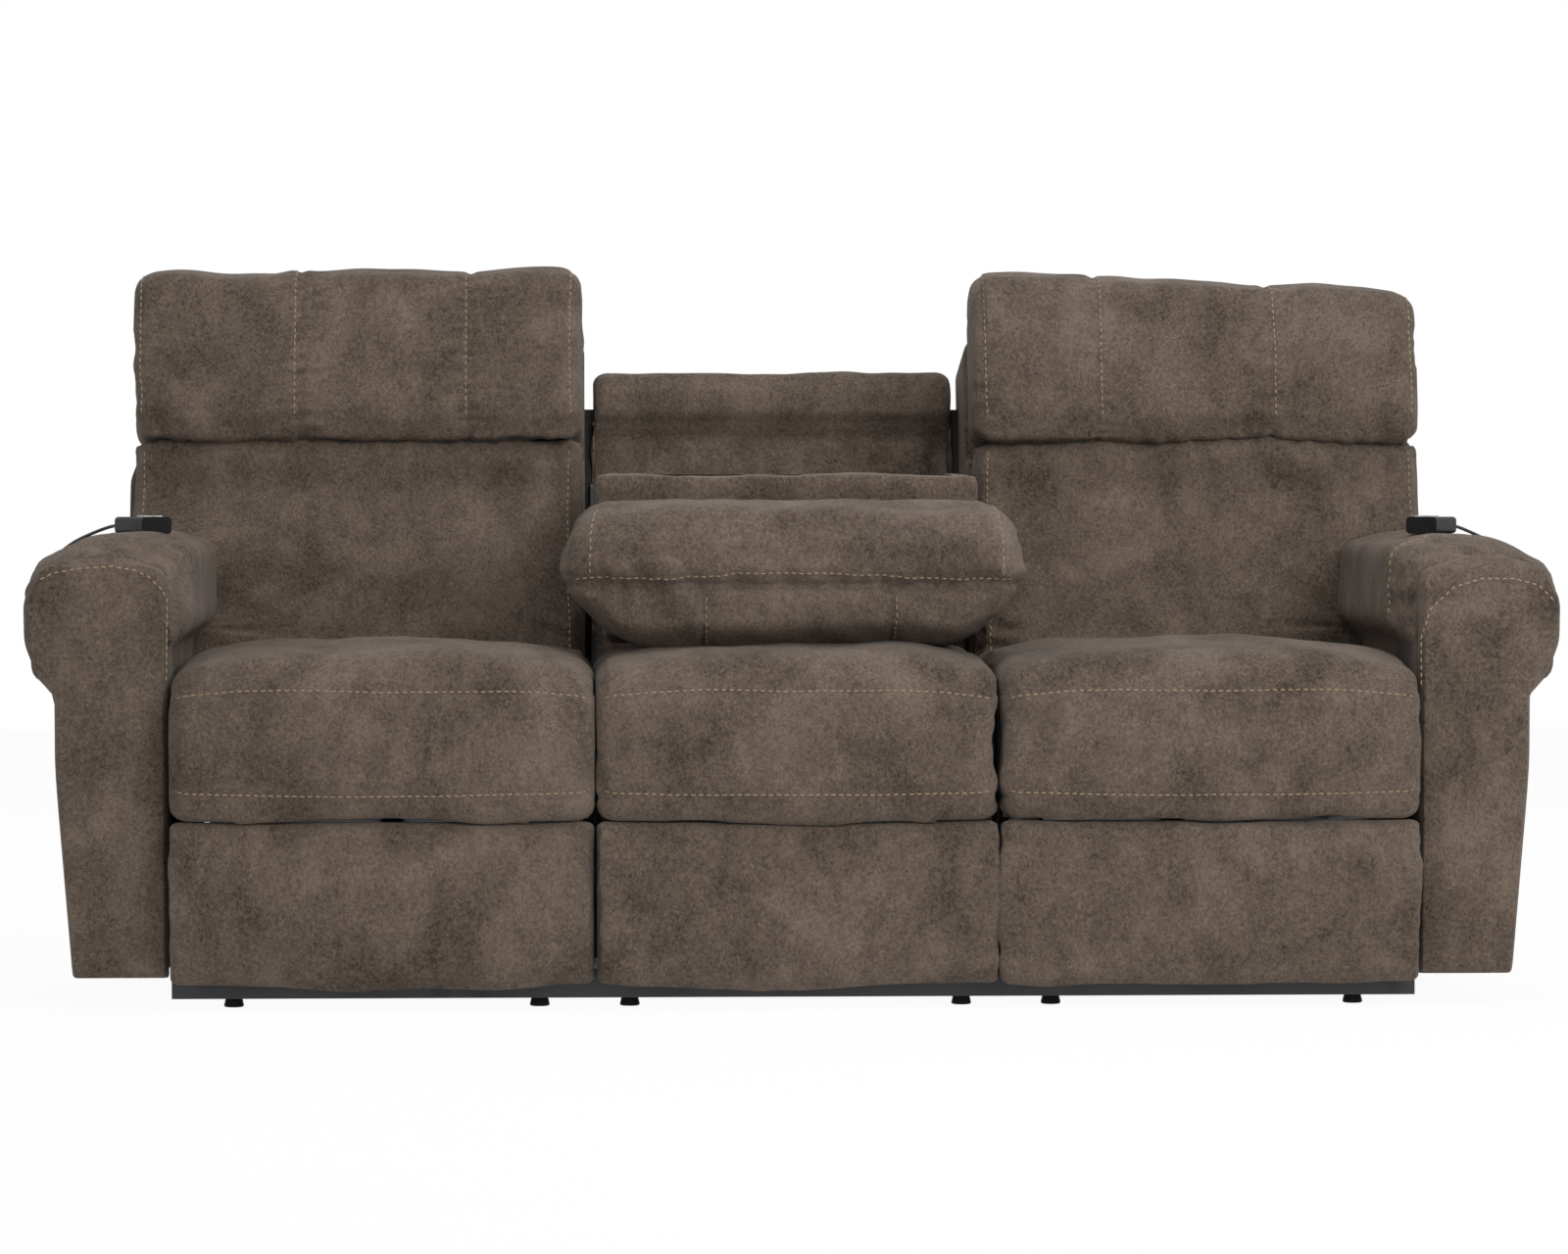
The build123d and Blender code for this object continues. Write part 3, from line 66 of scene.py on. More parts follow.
# ---------------------------------------------------------------- sizes and colours a user would change
class SofaFabric(bpy.types.PropertyGroup):
    """Colours and grain of the brushed upholstery fabric."""
    dark: FloatVectorProperty(name="Dark nap", description="Fabric where its nap lies away from the light",
                              subtype="COLOR", size=3, default=(0.043, 0.029, 0.0190))
    light: FloatVectorProperty(name="Light nap", description="Fabric where its nap lies towards the light",
                               subtype="COLOR", size=3, default=(0.196, 0.147, 0.113))
    pebble: FloatProperty(name="Pebble size", description="Width of one pebble of the grain", unit="LENGTH",
                          default=0.0052, min=0.001, max=0.02)
    patch: FloatProperty(name="Patch size", description="Width of a light or dark patch", unit="LENGTH",
                         default=0.15, min=0.02, max=0.5)


class SofaStitching(bpy.types.PropertyGroup):
    """Contrast topstitching."""
    colour: FloatVectorProperty(name="Thread", description="Colour of the thread", subtype="COLOR", size=3,
                                default=(0.37, 0.285, 0.17))
    length: FloatProperty(name="Stitch", description="Length of one stitch", unit="LENGTH", default=0.0068)
    gap: FloatProperty(name="Gap", description="Space between two stitches", unit="LENGTH", default=0.0042)
    thickness: FloatProperty(name="Thickness", description="Width of the thread", unit="LENGTH",
                             default=0.0025)


class SofaMesh(bpy.types.PropertyGroup):
    """How finely the padded pieces are divided."""
    across: IntProperty(name="Across", description="Rows along a cushion", default=150, min=24, max=400)
    around: IntProperty(name="Around", description="Points round a cushion's section", default=190, min=32,
                        max=400)


class SofaStage(bpy.types.PropertyGroup):
    """Camera of the stage."""
    lens: FloatProperty(name="Lens", description="Focal length", default=123.0, min=20, max=300)
    distance: FloatProperty(name="Distance", description="Camera to the sofa", unit="LENGTH", default=8.06)
    azimuth: FloatProperty(name="Azimuth", description="Camera's turn round the sofa", unit="ROTATION",
                           subtype="ANGLE", default=math.radians(-2.5))
    elevation: FloatProperty(name="Elevation", description="Camera's height as an angle", unit="ROTATION",
                             subtype="ANGLE", default=math.radians(1.35))


# ---------------------------------------------------------------- curves and grids
def outline(corners, count, passes=5):
    """Closed curve round (a, b, radius) corners, in even steps of arc length.

    Each corner becomes three control points, itself and one on each edge at the radius, and each pass
    cuts every corner of the control polygon at a quarter of its edges, which tends to a quadratic spline.
    """
    table = np.array(corners, float)
    here, radius = table[:, :2], table[:, 2:]

    def towards(neighbour):
        step = neighbour - here
        length = np.linalg.norm(step, axis=1, keepdims=True)
        return here + step / length * np.minimum(radius, 0.47 * length)

    net = np.stack([towards(np.roll(here, 1, 0)), here, towards(np.roll(here, -1, 0))], 1).reshape(-1, 2)
    for _ in range(passes):
        after = np.roll(net, -1, 0)
        net = np.stack([0.75 * net + 0.25 * after, 0.25 * net + 0.75 * after], 1).reshape(-1, 2)
    return even(np.vstack([net, net[:1]]), count + 1)[:-1]


def arc(line):
    """Arc length from the start of a line to each of its points."""
    return np.concatenate([[0], np.cumsum(np.linalg.norm(np.diff(line, axis=0), axis=1))])


def read_at(at, run, values):
    """Values that go with the arc lengths of run, read at other arc lengths."""
    return np.stack([np.interp(at, run, values[:, i]) for i in range(values.shape[1])], 1)


def even(line, count):
    """The same line in even steps of its arc length."""
    line = np.asarray(line, float)
    run = arc(line)
    return read_at(np.linspace(0, run[-1], count), run, line)


def normed(vectors, least=1e-12):
    """Vectors brought to a length of 1."""
    return vectors / (np.linalg.norm(vectors, axis=-1, keepdims=True) + least)


RIM_ROWS, CAP_START, CAP_BULGE = 12, 0.95, 0.10
WAVES = 14


def rounded_rows(low, high, rim, sink, rows, cap=10):
    """Rows of a closed form between two ends: place, inset and shrink of each.

    Over the rim the place runs out on a quarter ellipse while the section sinks inwards by up to sink;
    past it the section shrinks to its middle, on an end face that bulges a little.
    """
    turn = np.linspace(0, math.pi / 2, RIM_ROWS)
    place = low + rim * (1 - np.sin(turn))[::-1]
    inset = sink * (1 - np.cos(turn))[::-1]
    middle = np.linspace(low + rim, high - rim, rows)[1:-1]
    fade = np.linspace(CAP_START, 0, cap, endpoint=False)
    bulge = rim * CAP_BULGE * np.sin(fade * math.pi / 2)
    flat, straight = np.full(cap, sink), np.zeros(len(middle))
    places = np.concatenate([low - bulge, place, middle, (high + low - place)[::-1], (high + bulge)[::-1]])
    insets = np.concatenate([flat, inset, straight, inset[::-1], flat])
    shrinks = np.concatenate([fade, np.zeros(len(straight) + 2 * RIM_ROWS), fade[::-1]])
    return places, insets, shrinks


def loft(loop, rows, axis="x", core=None):
    """Grid of points: one section loop per row, sunk and shrunk as its row says.

    A section sinks as its box is drawn in on every side, so that none of its corners folds over. Axis x
    puts the loop's (a, b) in (y, z) at x = place, axis y in (x, z) at y and axis z in (x, y) at z. The
    end faces shrink to core, or to the middle of the section's box.
    """
    places, insets, shrinks = rows
    loops = loop if loop.ndim == 3 else np.broadcast_to(loop, (len(places),) + loop.shape)
    least, most = loops.min(1, keepdims=True), loops.max(1, keepdims=True)
    centre, half = (least + most) / 2, (most - least) / 2
    sunk = centre + (loops - centre) * (1 - insets[:, None, None] / half)
    middle = centre if core is None else np.array(core)
    section = middle + (sunk - middle) * (1 - shrinks[:, None, None])
    axes = [section[..., 0], section[..., 1]]
    axes.insert("xyz".index(axis), np.broadcast_to(places[:, None], section.shape[:2]))
    return np.stack(axes, -1)


def slope_cross(points):
    """Cross product of a closed grid's central differences down its rows and round its columns."""
    return np.cross(np.gradient(points, axis=0), (np.roll(points, -1, 1) - np.roll(points, 1, 1)) / 2)


def grid_normals(points):
    """Unit normals of a closed grid, turned away from the middle of its inner half of rows."""
    normal = normed(slope_cross(points))
    quarter = len(points) // 4
    out = points - points[quarter:3 * len(points) // 4].reshape(-1, 3).mean(0)
    return -normal if np.sum(out * normal) < 0 else normal


def lean(points):
    """Points given as (x, across, along) of the leaning backs, put where they are in the sofa."""
    x, across, along = points[..., 0], points[..., 1], points[..., 2]
    y = RECLINE_Y + across * math.cos(LEAN) + along * math.sin(LEAN)
    z = RECLINE_Z - across * math.sin(LEAN) + along * math.cos(LEAN)
    return np.stack([x, y, z], -1)


def ripple(points, size, seed, stretch=(1, 1, 1)):
    """Smooth noise of about unit height: a sum of sine waves of about one length in random directions.

    The waves are shorter along an axis that is stretched by more than 1, and longer along one under 1.
    """
    rng = np.random.default_rng(seed)
    points = points * np.array(stretch)
    total = np.zeros(points.shape[:-1])
    for _ in range(WAVES):
        direction = rng.normal(size=3)
        direction *= 2 * math.pi / (size * rng.uniform(0.7, 1.6)) / np.linalg.norm(direction)
        total += np.sin(points @ direction + rng.uniform(0, 2 * math.pi))
    return total / math.sqrt(WAVES / 2)


def valley(distance, width):
    """Falls from 1 on a line to 0 away from it."""
    return np.exp(-(distance / width) ** 2)


def smooth(value, low, high):
    """0 below low, 1 above high, and a smooth S between them."""
    step = np.clip((value - low) / (high - low), 0, 1)
    return step * step * (3 - 2 * step)


# ---------------------------------------------------------------- meshes
def mesh_object(name, points, face_sets, material):
    """A smooth mesh object at the origin, from points and one or more arrays of equal faces."""
    faces = [face for face_set in face_sets for face in np.asarray(face_set).tolist()]
    mesh = bpy.data.meshes.new(name)
    mesh.from_pydata(np.asarray(points, float).reshape(-1, 3).tolist(), [], faces)
    mesh.polygons.foreach_set("use_smooth", np.full(len(mesh.polygons), True))
    mesh.materials.append(material)
    made = bpy.data.objects.new(name, mesh)
    bpy.context.scene.collection.objects.link(made)
    return made


def closed_piece(name, points, material):
    """Mesh of a closed grid: columns wrap round, and each end row closes on one middle point."""
    rows, columns = points.shape[:2]
    index = np.arange(rows * columns).reshape(rows, columns)
    after = np.roll(index, -1, 1)
    quads = np.stack([index[:-1], index[1:], after[1:], after[:-1]], -1).reshape(-1, 4)
    verts = np.vstack([points.reshape(-1, 3), points[0].mean(0), points[-1].mean(0)])
    pad = np.full(columns, rows * columns)
    tris = np.vstack([np.stack([index[0], after[0], pad], -1), np.stack([after[-1], index[-1], pad + 1], -1)])
    if np.sum(slope_cross(points) * grid_normals(points)) < 0:
        quads, tris = quads[:, ::-1], tris[:, ::-1]
    return mesh_object(name, verts, [quads, tris], material)


def sample(points, rows, columns):
    """Points of a grid at fractional rows and columns, by weighing the four around each."""
    rows = np.clip(rows, 0, points.shape[0] - 1.001)
    columns = np.mod(columns, points.shape[1])
    r, c = rows.astype(int), columns.astype(int)
    u, v = (rows - r)[:, None], (columns - c)[:, None]
    after = (c + 1) % points.shape[1]
    return ((1 - u) * (1 - v) * points[r, c] + u * (1 - v) * points[r + 1, c]
            + (1 - u) * v * points[r, after] + u * v * points[r + 1, after])


STITCH = []
PROUD = 0.25  # how far a bead's middle stands out of the cloth, in halves of its thickness


def stitch(line, outward, rider):
    """Remember one seam line (points and the cloth's normals there) for the thread of a body."""
    STITCH.append((np.asarray(line), np.asarray(outward), rider))


def seam(points, normals, rows, columns, rider, steps=400):
    """Seam along a grid through fractional (row, column) knots, straight between them on the grid."""
    t = np.linspace(0, 1, steps)
    knots = np.linspace(0, 1, len(rows))
    row, column = np.interp(t, knots, rows), np.interp(t, knots, columns)
    stitch(sample(points, row, column), sample(normals, row, column), rider)


def stitches_mesh(name, lines, sizes, material):
    """Thread of many seams: one small closed bead, longer than wide, for each stitch.

    Each line is cut in even steps of stitch and gap. A bead is a ring of six points that swells and
    shrinks over five rows about as an ellipse does, partly sunk in the cloth.
    """
    length, gap, thick = sizes
    stations, swell = np.array([-1, -0.8, 0, 0.8, 1]), np.array([0.25, 0.8, 1, 0.8, 0.25])
    sides = 6
    bead = sides * len(stations)
    around = np.tile(np.linspace(0, 2 * math.pi, sides, endpoint=False), len(stations))
    thickness = np.repeat(swell, sides)
    template = np.stack([np.repeat(stations, sides), np.cos(around) * thickness,
                         np.sin(around) * thickness], -1)
    index = np.arange(bead).reshape(len(stations), sides)
    after = np.roll(index, -1, 1)
    quads = np.stack([index[:-1], after[:-1], after[1:], index[1:]], -1).reshape(-1, 4)
    caps = np.array([index[0][::-1], index[-1]])
    verts, faces, hexes, start = [], [], [], 0
    for line, outward in lines:
        run = arc(line)
        count = max(2, int(run[-1] / (length + gap)))
        at = (np.arange(count) + 0.5) * run[-1] / count
        centre = read_at(at, run, line)
        tangent = normed(read_at(at + length / 4, run, line) - read_at(at - length / 4, run, line))
        side = normed(np.cross(read_at(at, run, outward), tangent))
        up = np.cross(tangent, side)
        shape = (centre[:, None] + template[None, :, :1] * tangent[:, None] * length / 2
                 + template[None, :, 1:2] * side[:, None] * thick / 2
                 + (template[None, :, 2:] + PROUD) * up[:, None] * thick / 2)
        shift = start + bead * np.arange(count)[:, None, None]
        verts.append(shape.reshape(-1, 3))
        faces.append((quads[None] + shift).reshape(-1, 4))
        hexes.append((caps[None] + shift).reshape(-1, sides))
        start += bead * count
    return mesh_object(name, np.vstack(verts), [np.vstack(faces), np.vstack(hexes)], material)


# ---------------------------------------------------------------- materials
class Wire:
    """A shader socket that takes part in Python expressions, which add its Math nodes."""

    def __init__(self, shader, socket):
        self.shader, self.socket = shader, socket

    def maths(self, operation, first, second):
        return self.shader.node("ShaderNodeMath", {"operation": operation}, {0: first, 1: second})

    def __add__(self, other):
        return self.maths("ADD", self, other)

    def __rsub__(self, other):
        return self.maths("SUBTRACT", other, self)

    def __mul__(self, other):
        return self.maths("MULTIPLY", self, other)

    __radd__ = __add__
    __rmul__ = __mul__


class Finish:
    """A procedural material under construction, on the piece's own Object coordinates."""

    def __init__(self, name, owner=None):
        self.material = owner or bpy.data.materials.new(name)
        self.material.use_nodes = True
        self.tree = self.material.node_tree
        self.tree.nodes.clear()
        self.place = self.node("ShaderNodeTexCoord", {}, {}, "Object")

    def node(self, kind, settings, values, output=0):
        """Add a node: settings first, then its sockets' values or links; gives one output as a Wire."""
        made = self.tree.nodes.new(kind)
        for key, value in settings.items():
            setattr(made, key, value)
        for key, value in values.items():
            if isinstance(value, Wire):
                self.tree.links.new(value.socket, made.inputs[key])
            else:
                made.inputs[key].default_value = value
        return Wire(self, made.outputs[output])

    def noise(self, scale, detail=2.0, roughness=0.5, distortion=0.0, place=None):
        """Smooth noise of about scale waves a metre."""
        return self.node("ShaderNodeTexNoise", {}, {"Vector": place or self.place, "Scale": scale,
                                                    "Detail": detail, "Roughness": roughness,
                                                    "Distortion": distortion})

    def stretch(self, x, y, z):
        """The place with its axes multiplied, so that a pattern runs longer along the smallest."""
        return self.node("ShaderNodeMapping", {}, {"Vector": self.place, "Scale": (x, y, z)})

    def clamp(self, value, low, high):
        """0 at low and 1 at high, held between them."""
        return self.node("ShaderNodeMapRange", {"clamp": True}, {"Value": value, "From Min": low,
                                                                 "From Max": high})

    def mix(self, factor, first, second):
        """Between two colours."""
        colours = [one if isinstance(one, Wire) else (*one, 1) for one in (first, second)]
        return self.node("ShaderNodeMix", {"data_type": "RGBA"}, {0: factor, 6: colours[0], 7: colours[1]}, 2)

    def bump(self, height, distance, strength=1.0):
        """Normal from a height of 0 to 1 that stands for a real distance."""
        return self.node("ShaderNodeBump", {}, {"Height": height, "Distance": distance,
                                                "Strength": strength})

    def surface(self, colour, roughness, **more):
        """The shader and the material's output."""
        values = {"Base Color": colour if isinstance(colour, Wire) else (*colour, 1), "Roughness": roughness}
        values.update(more)
        shader = self.node("ShaderNodeBsdfPrincipled", {}, values)
        end = self.tree.nodes.new("ShaderNodeOutputMaterial")
        self.tree.links.new(shader.socket, end.inputs["Surface"])
        return self.material


def brushed_fabric(settings):
    """Nubuck-like fabric: pebbled grain, short crackled creases, and light and dark patches of nap."""
    finish = Finish("brushed_fabric")
    patch = finish.clamp(finish.noise(1 / settings.patch, 2, 0.55, 0.8), 0.30, 0.70)
    streak = finish.clamp(finish.noise(1 / settings.patch, 2, 0.5, 0.4, finish.stretch(3.2, 3.2, 1.5)),
                          0.32, 0.68)
    smear = finish.clamp(finish.noise(46, 3, 0.6, 0.3), 0.32, 0.68)
    grain = finish.noise(1.0 / settings.pebble, 3, 0.66, 0.35)
    pore = finish.clamp(finish.noise(0.9 / settings.pebble, 5, 0.72, 1.6, finish.stretch(1, 1, 0.72)),
                        0.38, 0.60)
    fleck = finish.clamp(grain, 0.40, 0.62)
    mask = patch * 0.29 + streak * 0.17 + smear * 0.10 + fleck * 0.20 + pore * 0.32
    colour = finish.mix(finish.clamp(mask, 0.20, 0.88), settings.dark, settings.light)
    height = pore * 0.55 + fleck * 0.45
    rough = 0.96 - patch * 0.10
    return finish.surface(colour, rough, Normal=finish.bump(height, 0.0011, 0.9),
                          **{"Sheen Weight": 0.10, "Sheen Roughness": 0.6, "Specular IOR Level": 0.22})


def twisted_thread(colour):
    """Contrast thread with fine twisted plies."""
    finish = Finish("contrast_thread")
    ply = finish.noise(1400, 1, 0.5, 0, finish.stretch(1, 1, 1.6))
    shade = finish.mix(finish.clamp(ply, 0.3, 0.7), [0.6 * c for c in colour], [1.15 * c for c in colour])
    return finish.surface(shade, 0.75, Normal=finish.bump(ply, 0.0003))


def painted_steel():
    """Satin black paint over pressed steel: a slight orange peel and lighter, dusty places."""
    finish = Finish("black_frame_paint")
    peel = finish.noise(420, 2, 0.5)
    dust = finish.clamp(finish.noise(18, 4, 0.6), 0.45, 0.75)
    colour = finish.mix(dust * 0.5, (0.010, 0.010, 0.011), (0.022, 0.021, 0.020))
    return finish.surface(colour, 0.38 + dust * 0.25, Normal=finish.bump(peel, 0.0003),
                          **{"Coat Weight": 0.15, "Coat Roughness": 0.3})


def zinc_steel():
    """Zinc-plated steel: cloudy, lightly brushed, with duller spots."""
    finish = Finish("zinc_plated_steel")
    cloud = finish.clamp(finish.noise(30, 4, 0.6, 0.4), 0.3, 0.7)
    brush = finish.noise(500, 2, 0.6, 0, finish.stretch(1, 0.08, 1))
    colour = finish.mix(cloud, (0.36, 0.365, 0.37), (0.56, 0.56, 0.55))
    return finish.surface(colour, 0.30 + cloud * 0.2 + brush * 0.1, Metallic=1.0,
                          Normal=finish.bump(brush, 0.0002, 0.6))


def raw_plywood():
    """Plywood and softwood: long grain lines, growth bands and fine fibres."""
    finish = Finish("raw_plywood")
    bands = finish.clamp(finish.noise(22, 4, 0.6, 1.2, finish.stretch(0.12, 1, 1)), 0.3, 0.7)
    fibre = finish.noise(600, 3, 0.6, 0, finish.stretch(0.04, 1, 1))
    colour = finish.mix(bands * 0.7 + fibre * 0.3, (0.36, 0.235, 0.125), (0.58, 0.43, 0.26))
    return finish.surface(colour, 0.72, Normal=finish.bump(fibre, 0.0004))


def moulded_plastic(name, colour, roughness, texture):
    """Moulded plastic with a fine spark-eroded texture and faint sink marks."""
    finish = Finish(name)
    grain = finish.noise(1500, 2, 0.5)
    sink = finish.clamp(finish.noise(40, 2, 0.5), 0.3, 0.7)
    shade = finish.mix(sink, [0.88 * c for c in colour], [1.12 * c for c in colour])
    return finish.surface(shade, roughness + sink * 0.06, Normal=finish.bump(grain, texture),
                          **{"Specular IOR Level": 0.12})


def cord_rubber():
    """Soft black sheath with the faint ribs of its cores."""
    finish = Finish("cord_sheath")
    rib = finish.noise(700, 2, 0.5, 0, finish.stretch(1, 1, 0.3))
    shade = finish.mix(finish.clamp(rib, 0.3, 0.7), (0.010, 0.010, 0.010), (0.022, 0.022, 0.022))
    return finish.surface(shade, 0.46, Normal=finish.bump(rib, 0.0002))


def lining_and_slit_shade():
    """Black woven lining of the places under and behind the cushions; on the sheets in the slits its black is
    painted shade.
    """
    finish = Finish("black_lining_and_slit_shade")
    weave = finish.noise(900, 1, 0.4)
    shade = finish.mix(weave, (0.010, 0.0095, 0.009), (0.026, 0.024, 0.022))
    return finish.surface(shade, 0.95, Normal=finish.bump(weave, 0.0004))


FINISH = {}


def finish_of(name):
    """One material by name, made when it is first asked for."""
    scene = bpy.context.scene
    makers = {
        "fabric": lambda: brushed_fabric(scene.sofa_fabric),
        "thread": lambda: twisted_thread(scene.sofa_stitching.colour),
        "paint": painted_steel,
        "steel": zinc_steel,
        "wood": raw_plywood,
        "plastic": lambda: moulded_plastic("black_plastic", (0.007, 0.007, 0.008), 0.50, 0.00010),
        "buttons": lambda: moulded_plastic("button_plastic", (0.50, 0.49, 0.46), 0.40, 0.00008),
        "cord": cord_rubber,
        "lining": lining_and_slit_shade,
    }
    if name not in FINISH:
        FINISH[name] = makers[name]()
    return FINISH[name]


# ---------------------------------------------------------------- padded pieces
def declare(piece, body, fill, *nodes):
    """A padded fabric piece that rides on a body and stands for its CAD solids."""
    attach(piece, body)
    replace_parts(piece, *nodes)
    return piece


def cover(name, points, body, fill, *nodes):
    """Padded piece in the sofa's fabric, from its closed grid."""
    return declare(closed_piece(name, points, finish_of("fabric")), body, fill, *nodes)


def puffed(points, normals, push, held, limit=0.0005):
    """Points moved out by push along their normals, where they are held back by no more than the limit."""
    return points + normals * np.where(held, np.minimum(push, limit), push)[..., None]


def near(loop, a, b):
    """Number of the loop's point that is nearest to (a, b)."""
    return int(np.argmin(np.sum((loop - np.array([a, b])) ** 2, axis=1)))


def rows_at(points, axis, value):
    """Fractional row of a loft whose places run up along an axis."""
    middle = points[:, :, axis].mean(1)
    return float(np.interp(value, middle, np.arange(len(middle))))


LOW_SEAM, HIGH_SEAM = 0.306, 0.457


def seat(name, low, high, body, node, seed):
    """Seat cushion: its side section carried along the seat, crowned, with two stitched seams.

    Formula: section (y, z) by x; the top sinks by about the cube of the distance from the middle; a seam
    is a Gaussian valley at its height on the front, with ripples that die away from it.
    """
    size = bpy.context.scene.sofa_mesh
    loop = outline([(-0.440, 0.2765, 0.010), (-0.496, 0.2690, 0.020), (-0.512, 0.297, 0.030),
                    (-0.507, 0.318, 0.02), (-0.519, 0.385, 0.08), (-0.509, 0.455, 0.05),
                    (-0.484, 0.512, 0.050), (-0.30, 0.527, 0.20), (-0.05, 0.522, 0.2),
                    (0.084, 0.517, 0.03), (0.052, 0.314, 0.008), (-0.438, 0.314, 0.004)], size.around)
    points = loft(loop, rounded_rows(low, high, 0.030, 0.020, size.across))
    normals = grid_normals(points)
    reach = np.clip((points[..., 0] - (low + high) / 2) / ((high - low) / 2), -1, 1)
    z, y = points[..., 2], points[..., 1]
    front = smooth(-y, 0.40, 0.47)
    top = smooth(z, 0.44, 0.52)
    points[..., 2] -= 0.028 * np.abs(reach) ** 3.2 * smooth(z, 0.36, 0.52)
    points[..., 1] += (0.012 * reach ** 4 - 0.003) * front
    lower, upper = LOW_SEAM + 0.004 * reach ** 2, HIGH_SEAM - 0.004 * reach ** 2
    push = -0.0050 * valley(z - lower + 0.006, 0.0045) * front - 0.0022 * valley(z - upper, 0.004) * front
    push += 0.0045 * valley(z - lower - 0.022, 0.016) * front
    push += 0.002 * valley(z - upper + 0.02, 0.014) * front
    beside = (valley(z - lower, 0.035) + 0.5 * valley(z - upper, 0.03)) * front
    push += ripple(points, 0.050, seed, (1, 1, 0.45)) * 0.0014 * beside
    push += ripple(points, 0.21, seed + 1) * 0.0028 * np.maximum(front, top)
    push += ripple(points, 0.075, seed + 2) * 0.0007
    push += ripple(points, 0.03, seed + 3, (0.25, 1, 1)) * 0.0010 * smooth(np.abs(reach), 0.80, 0.97)
    push = np.where((z < 0.29) & (y > -0.495), np.minimum(push, 0), push)
    points = puffed(points, normals, push, np.abs(reach) > 0.95)
    normals = grid_normals(points)
    cover(name, points, body, 0.9, node)
    for height in (HIGH_SEAM, LOW_SEAM):
        column = near(loop, -0.509, height)
        ends = [rows_at(points, 0, low + 0.012), rows_at(points, 0, high - 0.012)]
        knots = np.linspace(ends[0], ends[1], 9)
        reach = np.linspace(-1, 1, 9) ** 2
        step = 1 if loop[(column + 2) % len(loop), 1] > height else -1
        bow = 1.1 if height == HIGH_SEAM else 0.5
        seam(points, normals, knots, column + step * bow * reach, body)


def foot_pad(name, low, high, body, node, seed):
    """Padded front of a footrest: the section of a slim pillow carried across, hanging a little.

    Formula: section (y, z) by x; the bottom edge sinks by a parabola; ripples hang from the top edge.
    """
    size = bpy.context.scene.sofa_mesh
    loop = outline([(-0.470, 0.037, 0.004), (-0.492, 0.0335, 0.012), (-0.507, 0.053, 0.025),
                    (-0.5135, 0.12, 0.08), (-0.5115, 0.215, 0.07), (-0.500, 0.262, 0.022),
                    (-0.486, 0.2700, 0.01), (-0.470, 0.269, 0.004)], size.around)
    points = loft(loop, rounded_rows(low, high, 0.016, 0.010, size.across))
    normals = grid_normals(points)
    reach = np.clip((points[..., 0] - (low + high) / 2) / ((high - low) / 2), -1, 1)
    z, y = points[..., 2], points[..., 1]
    front = smooth(-y, 0.475, 0.495)
    points[..., 2] -= 0.0055 * (1 - reach ** 2) * smooth(-z, -0.10, -0.03) * front
    front = front * smooth(-z, -0.268, -0.255)
    push = ripple(points, 0.10, seed, (1.0, 1.0, 0.30)) * 0.0020 * front * smooth(z, 0.10, 0.26)
    push += ripple(points, 0.24, seed + 1) * 0.0030 * front
    push += ripple(points, 0.07, seed + 2) * 0.0007 * front
    push += ripple(points, 0.032, seed + 3, (0.3, 1, 1)) * 0.0012 * smooth(np.abs(reach), 0.88, 0.99) * front
    push -= 0.004 * reach ** 6 * front
    cover(name, points + normals * push[..., None], body, 0.85, node)


def back_rows(low, high, rim, sink, rows, inner, outer, narrow, front, rear, loop):
    """Sections of a leaning back piece, (x, across) by the height along it, wider above its arm.

    Formula: the unit section is stretched between x inner and outer and between the front and the
    rear; outer swings from narrow to full over a smooth step at the wing's bottom.
    """
    places, insets, shrinks = rounded_rows(low, high, rim, sink, rows)
    wide = narrow + (outer - narrow) * smooth(places, WING_BOTTOM - 0.004, WING_BOTTOM + 0.030)
    ahead = front(places)
    x = inner + (wide - inner)[:, None] * loop[None, :, 0]
    across = ahead[:, None] + (rear - ahead)[:, None] * loop[None, :, 1]
    return np.stack([x, across], -1), (places, insets, shrinks)


ARM_PRESS, TUCKS = (0.885, 0.19), 9


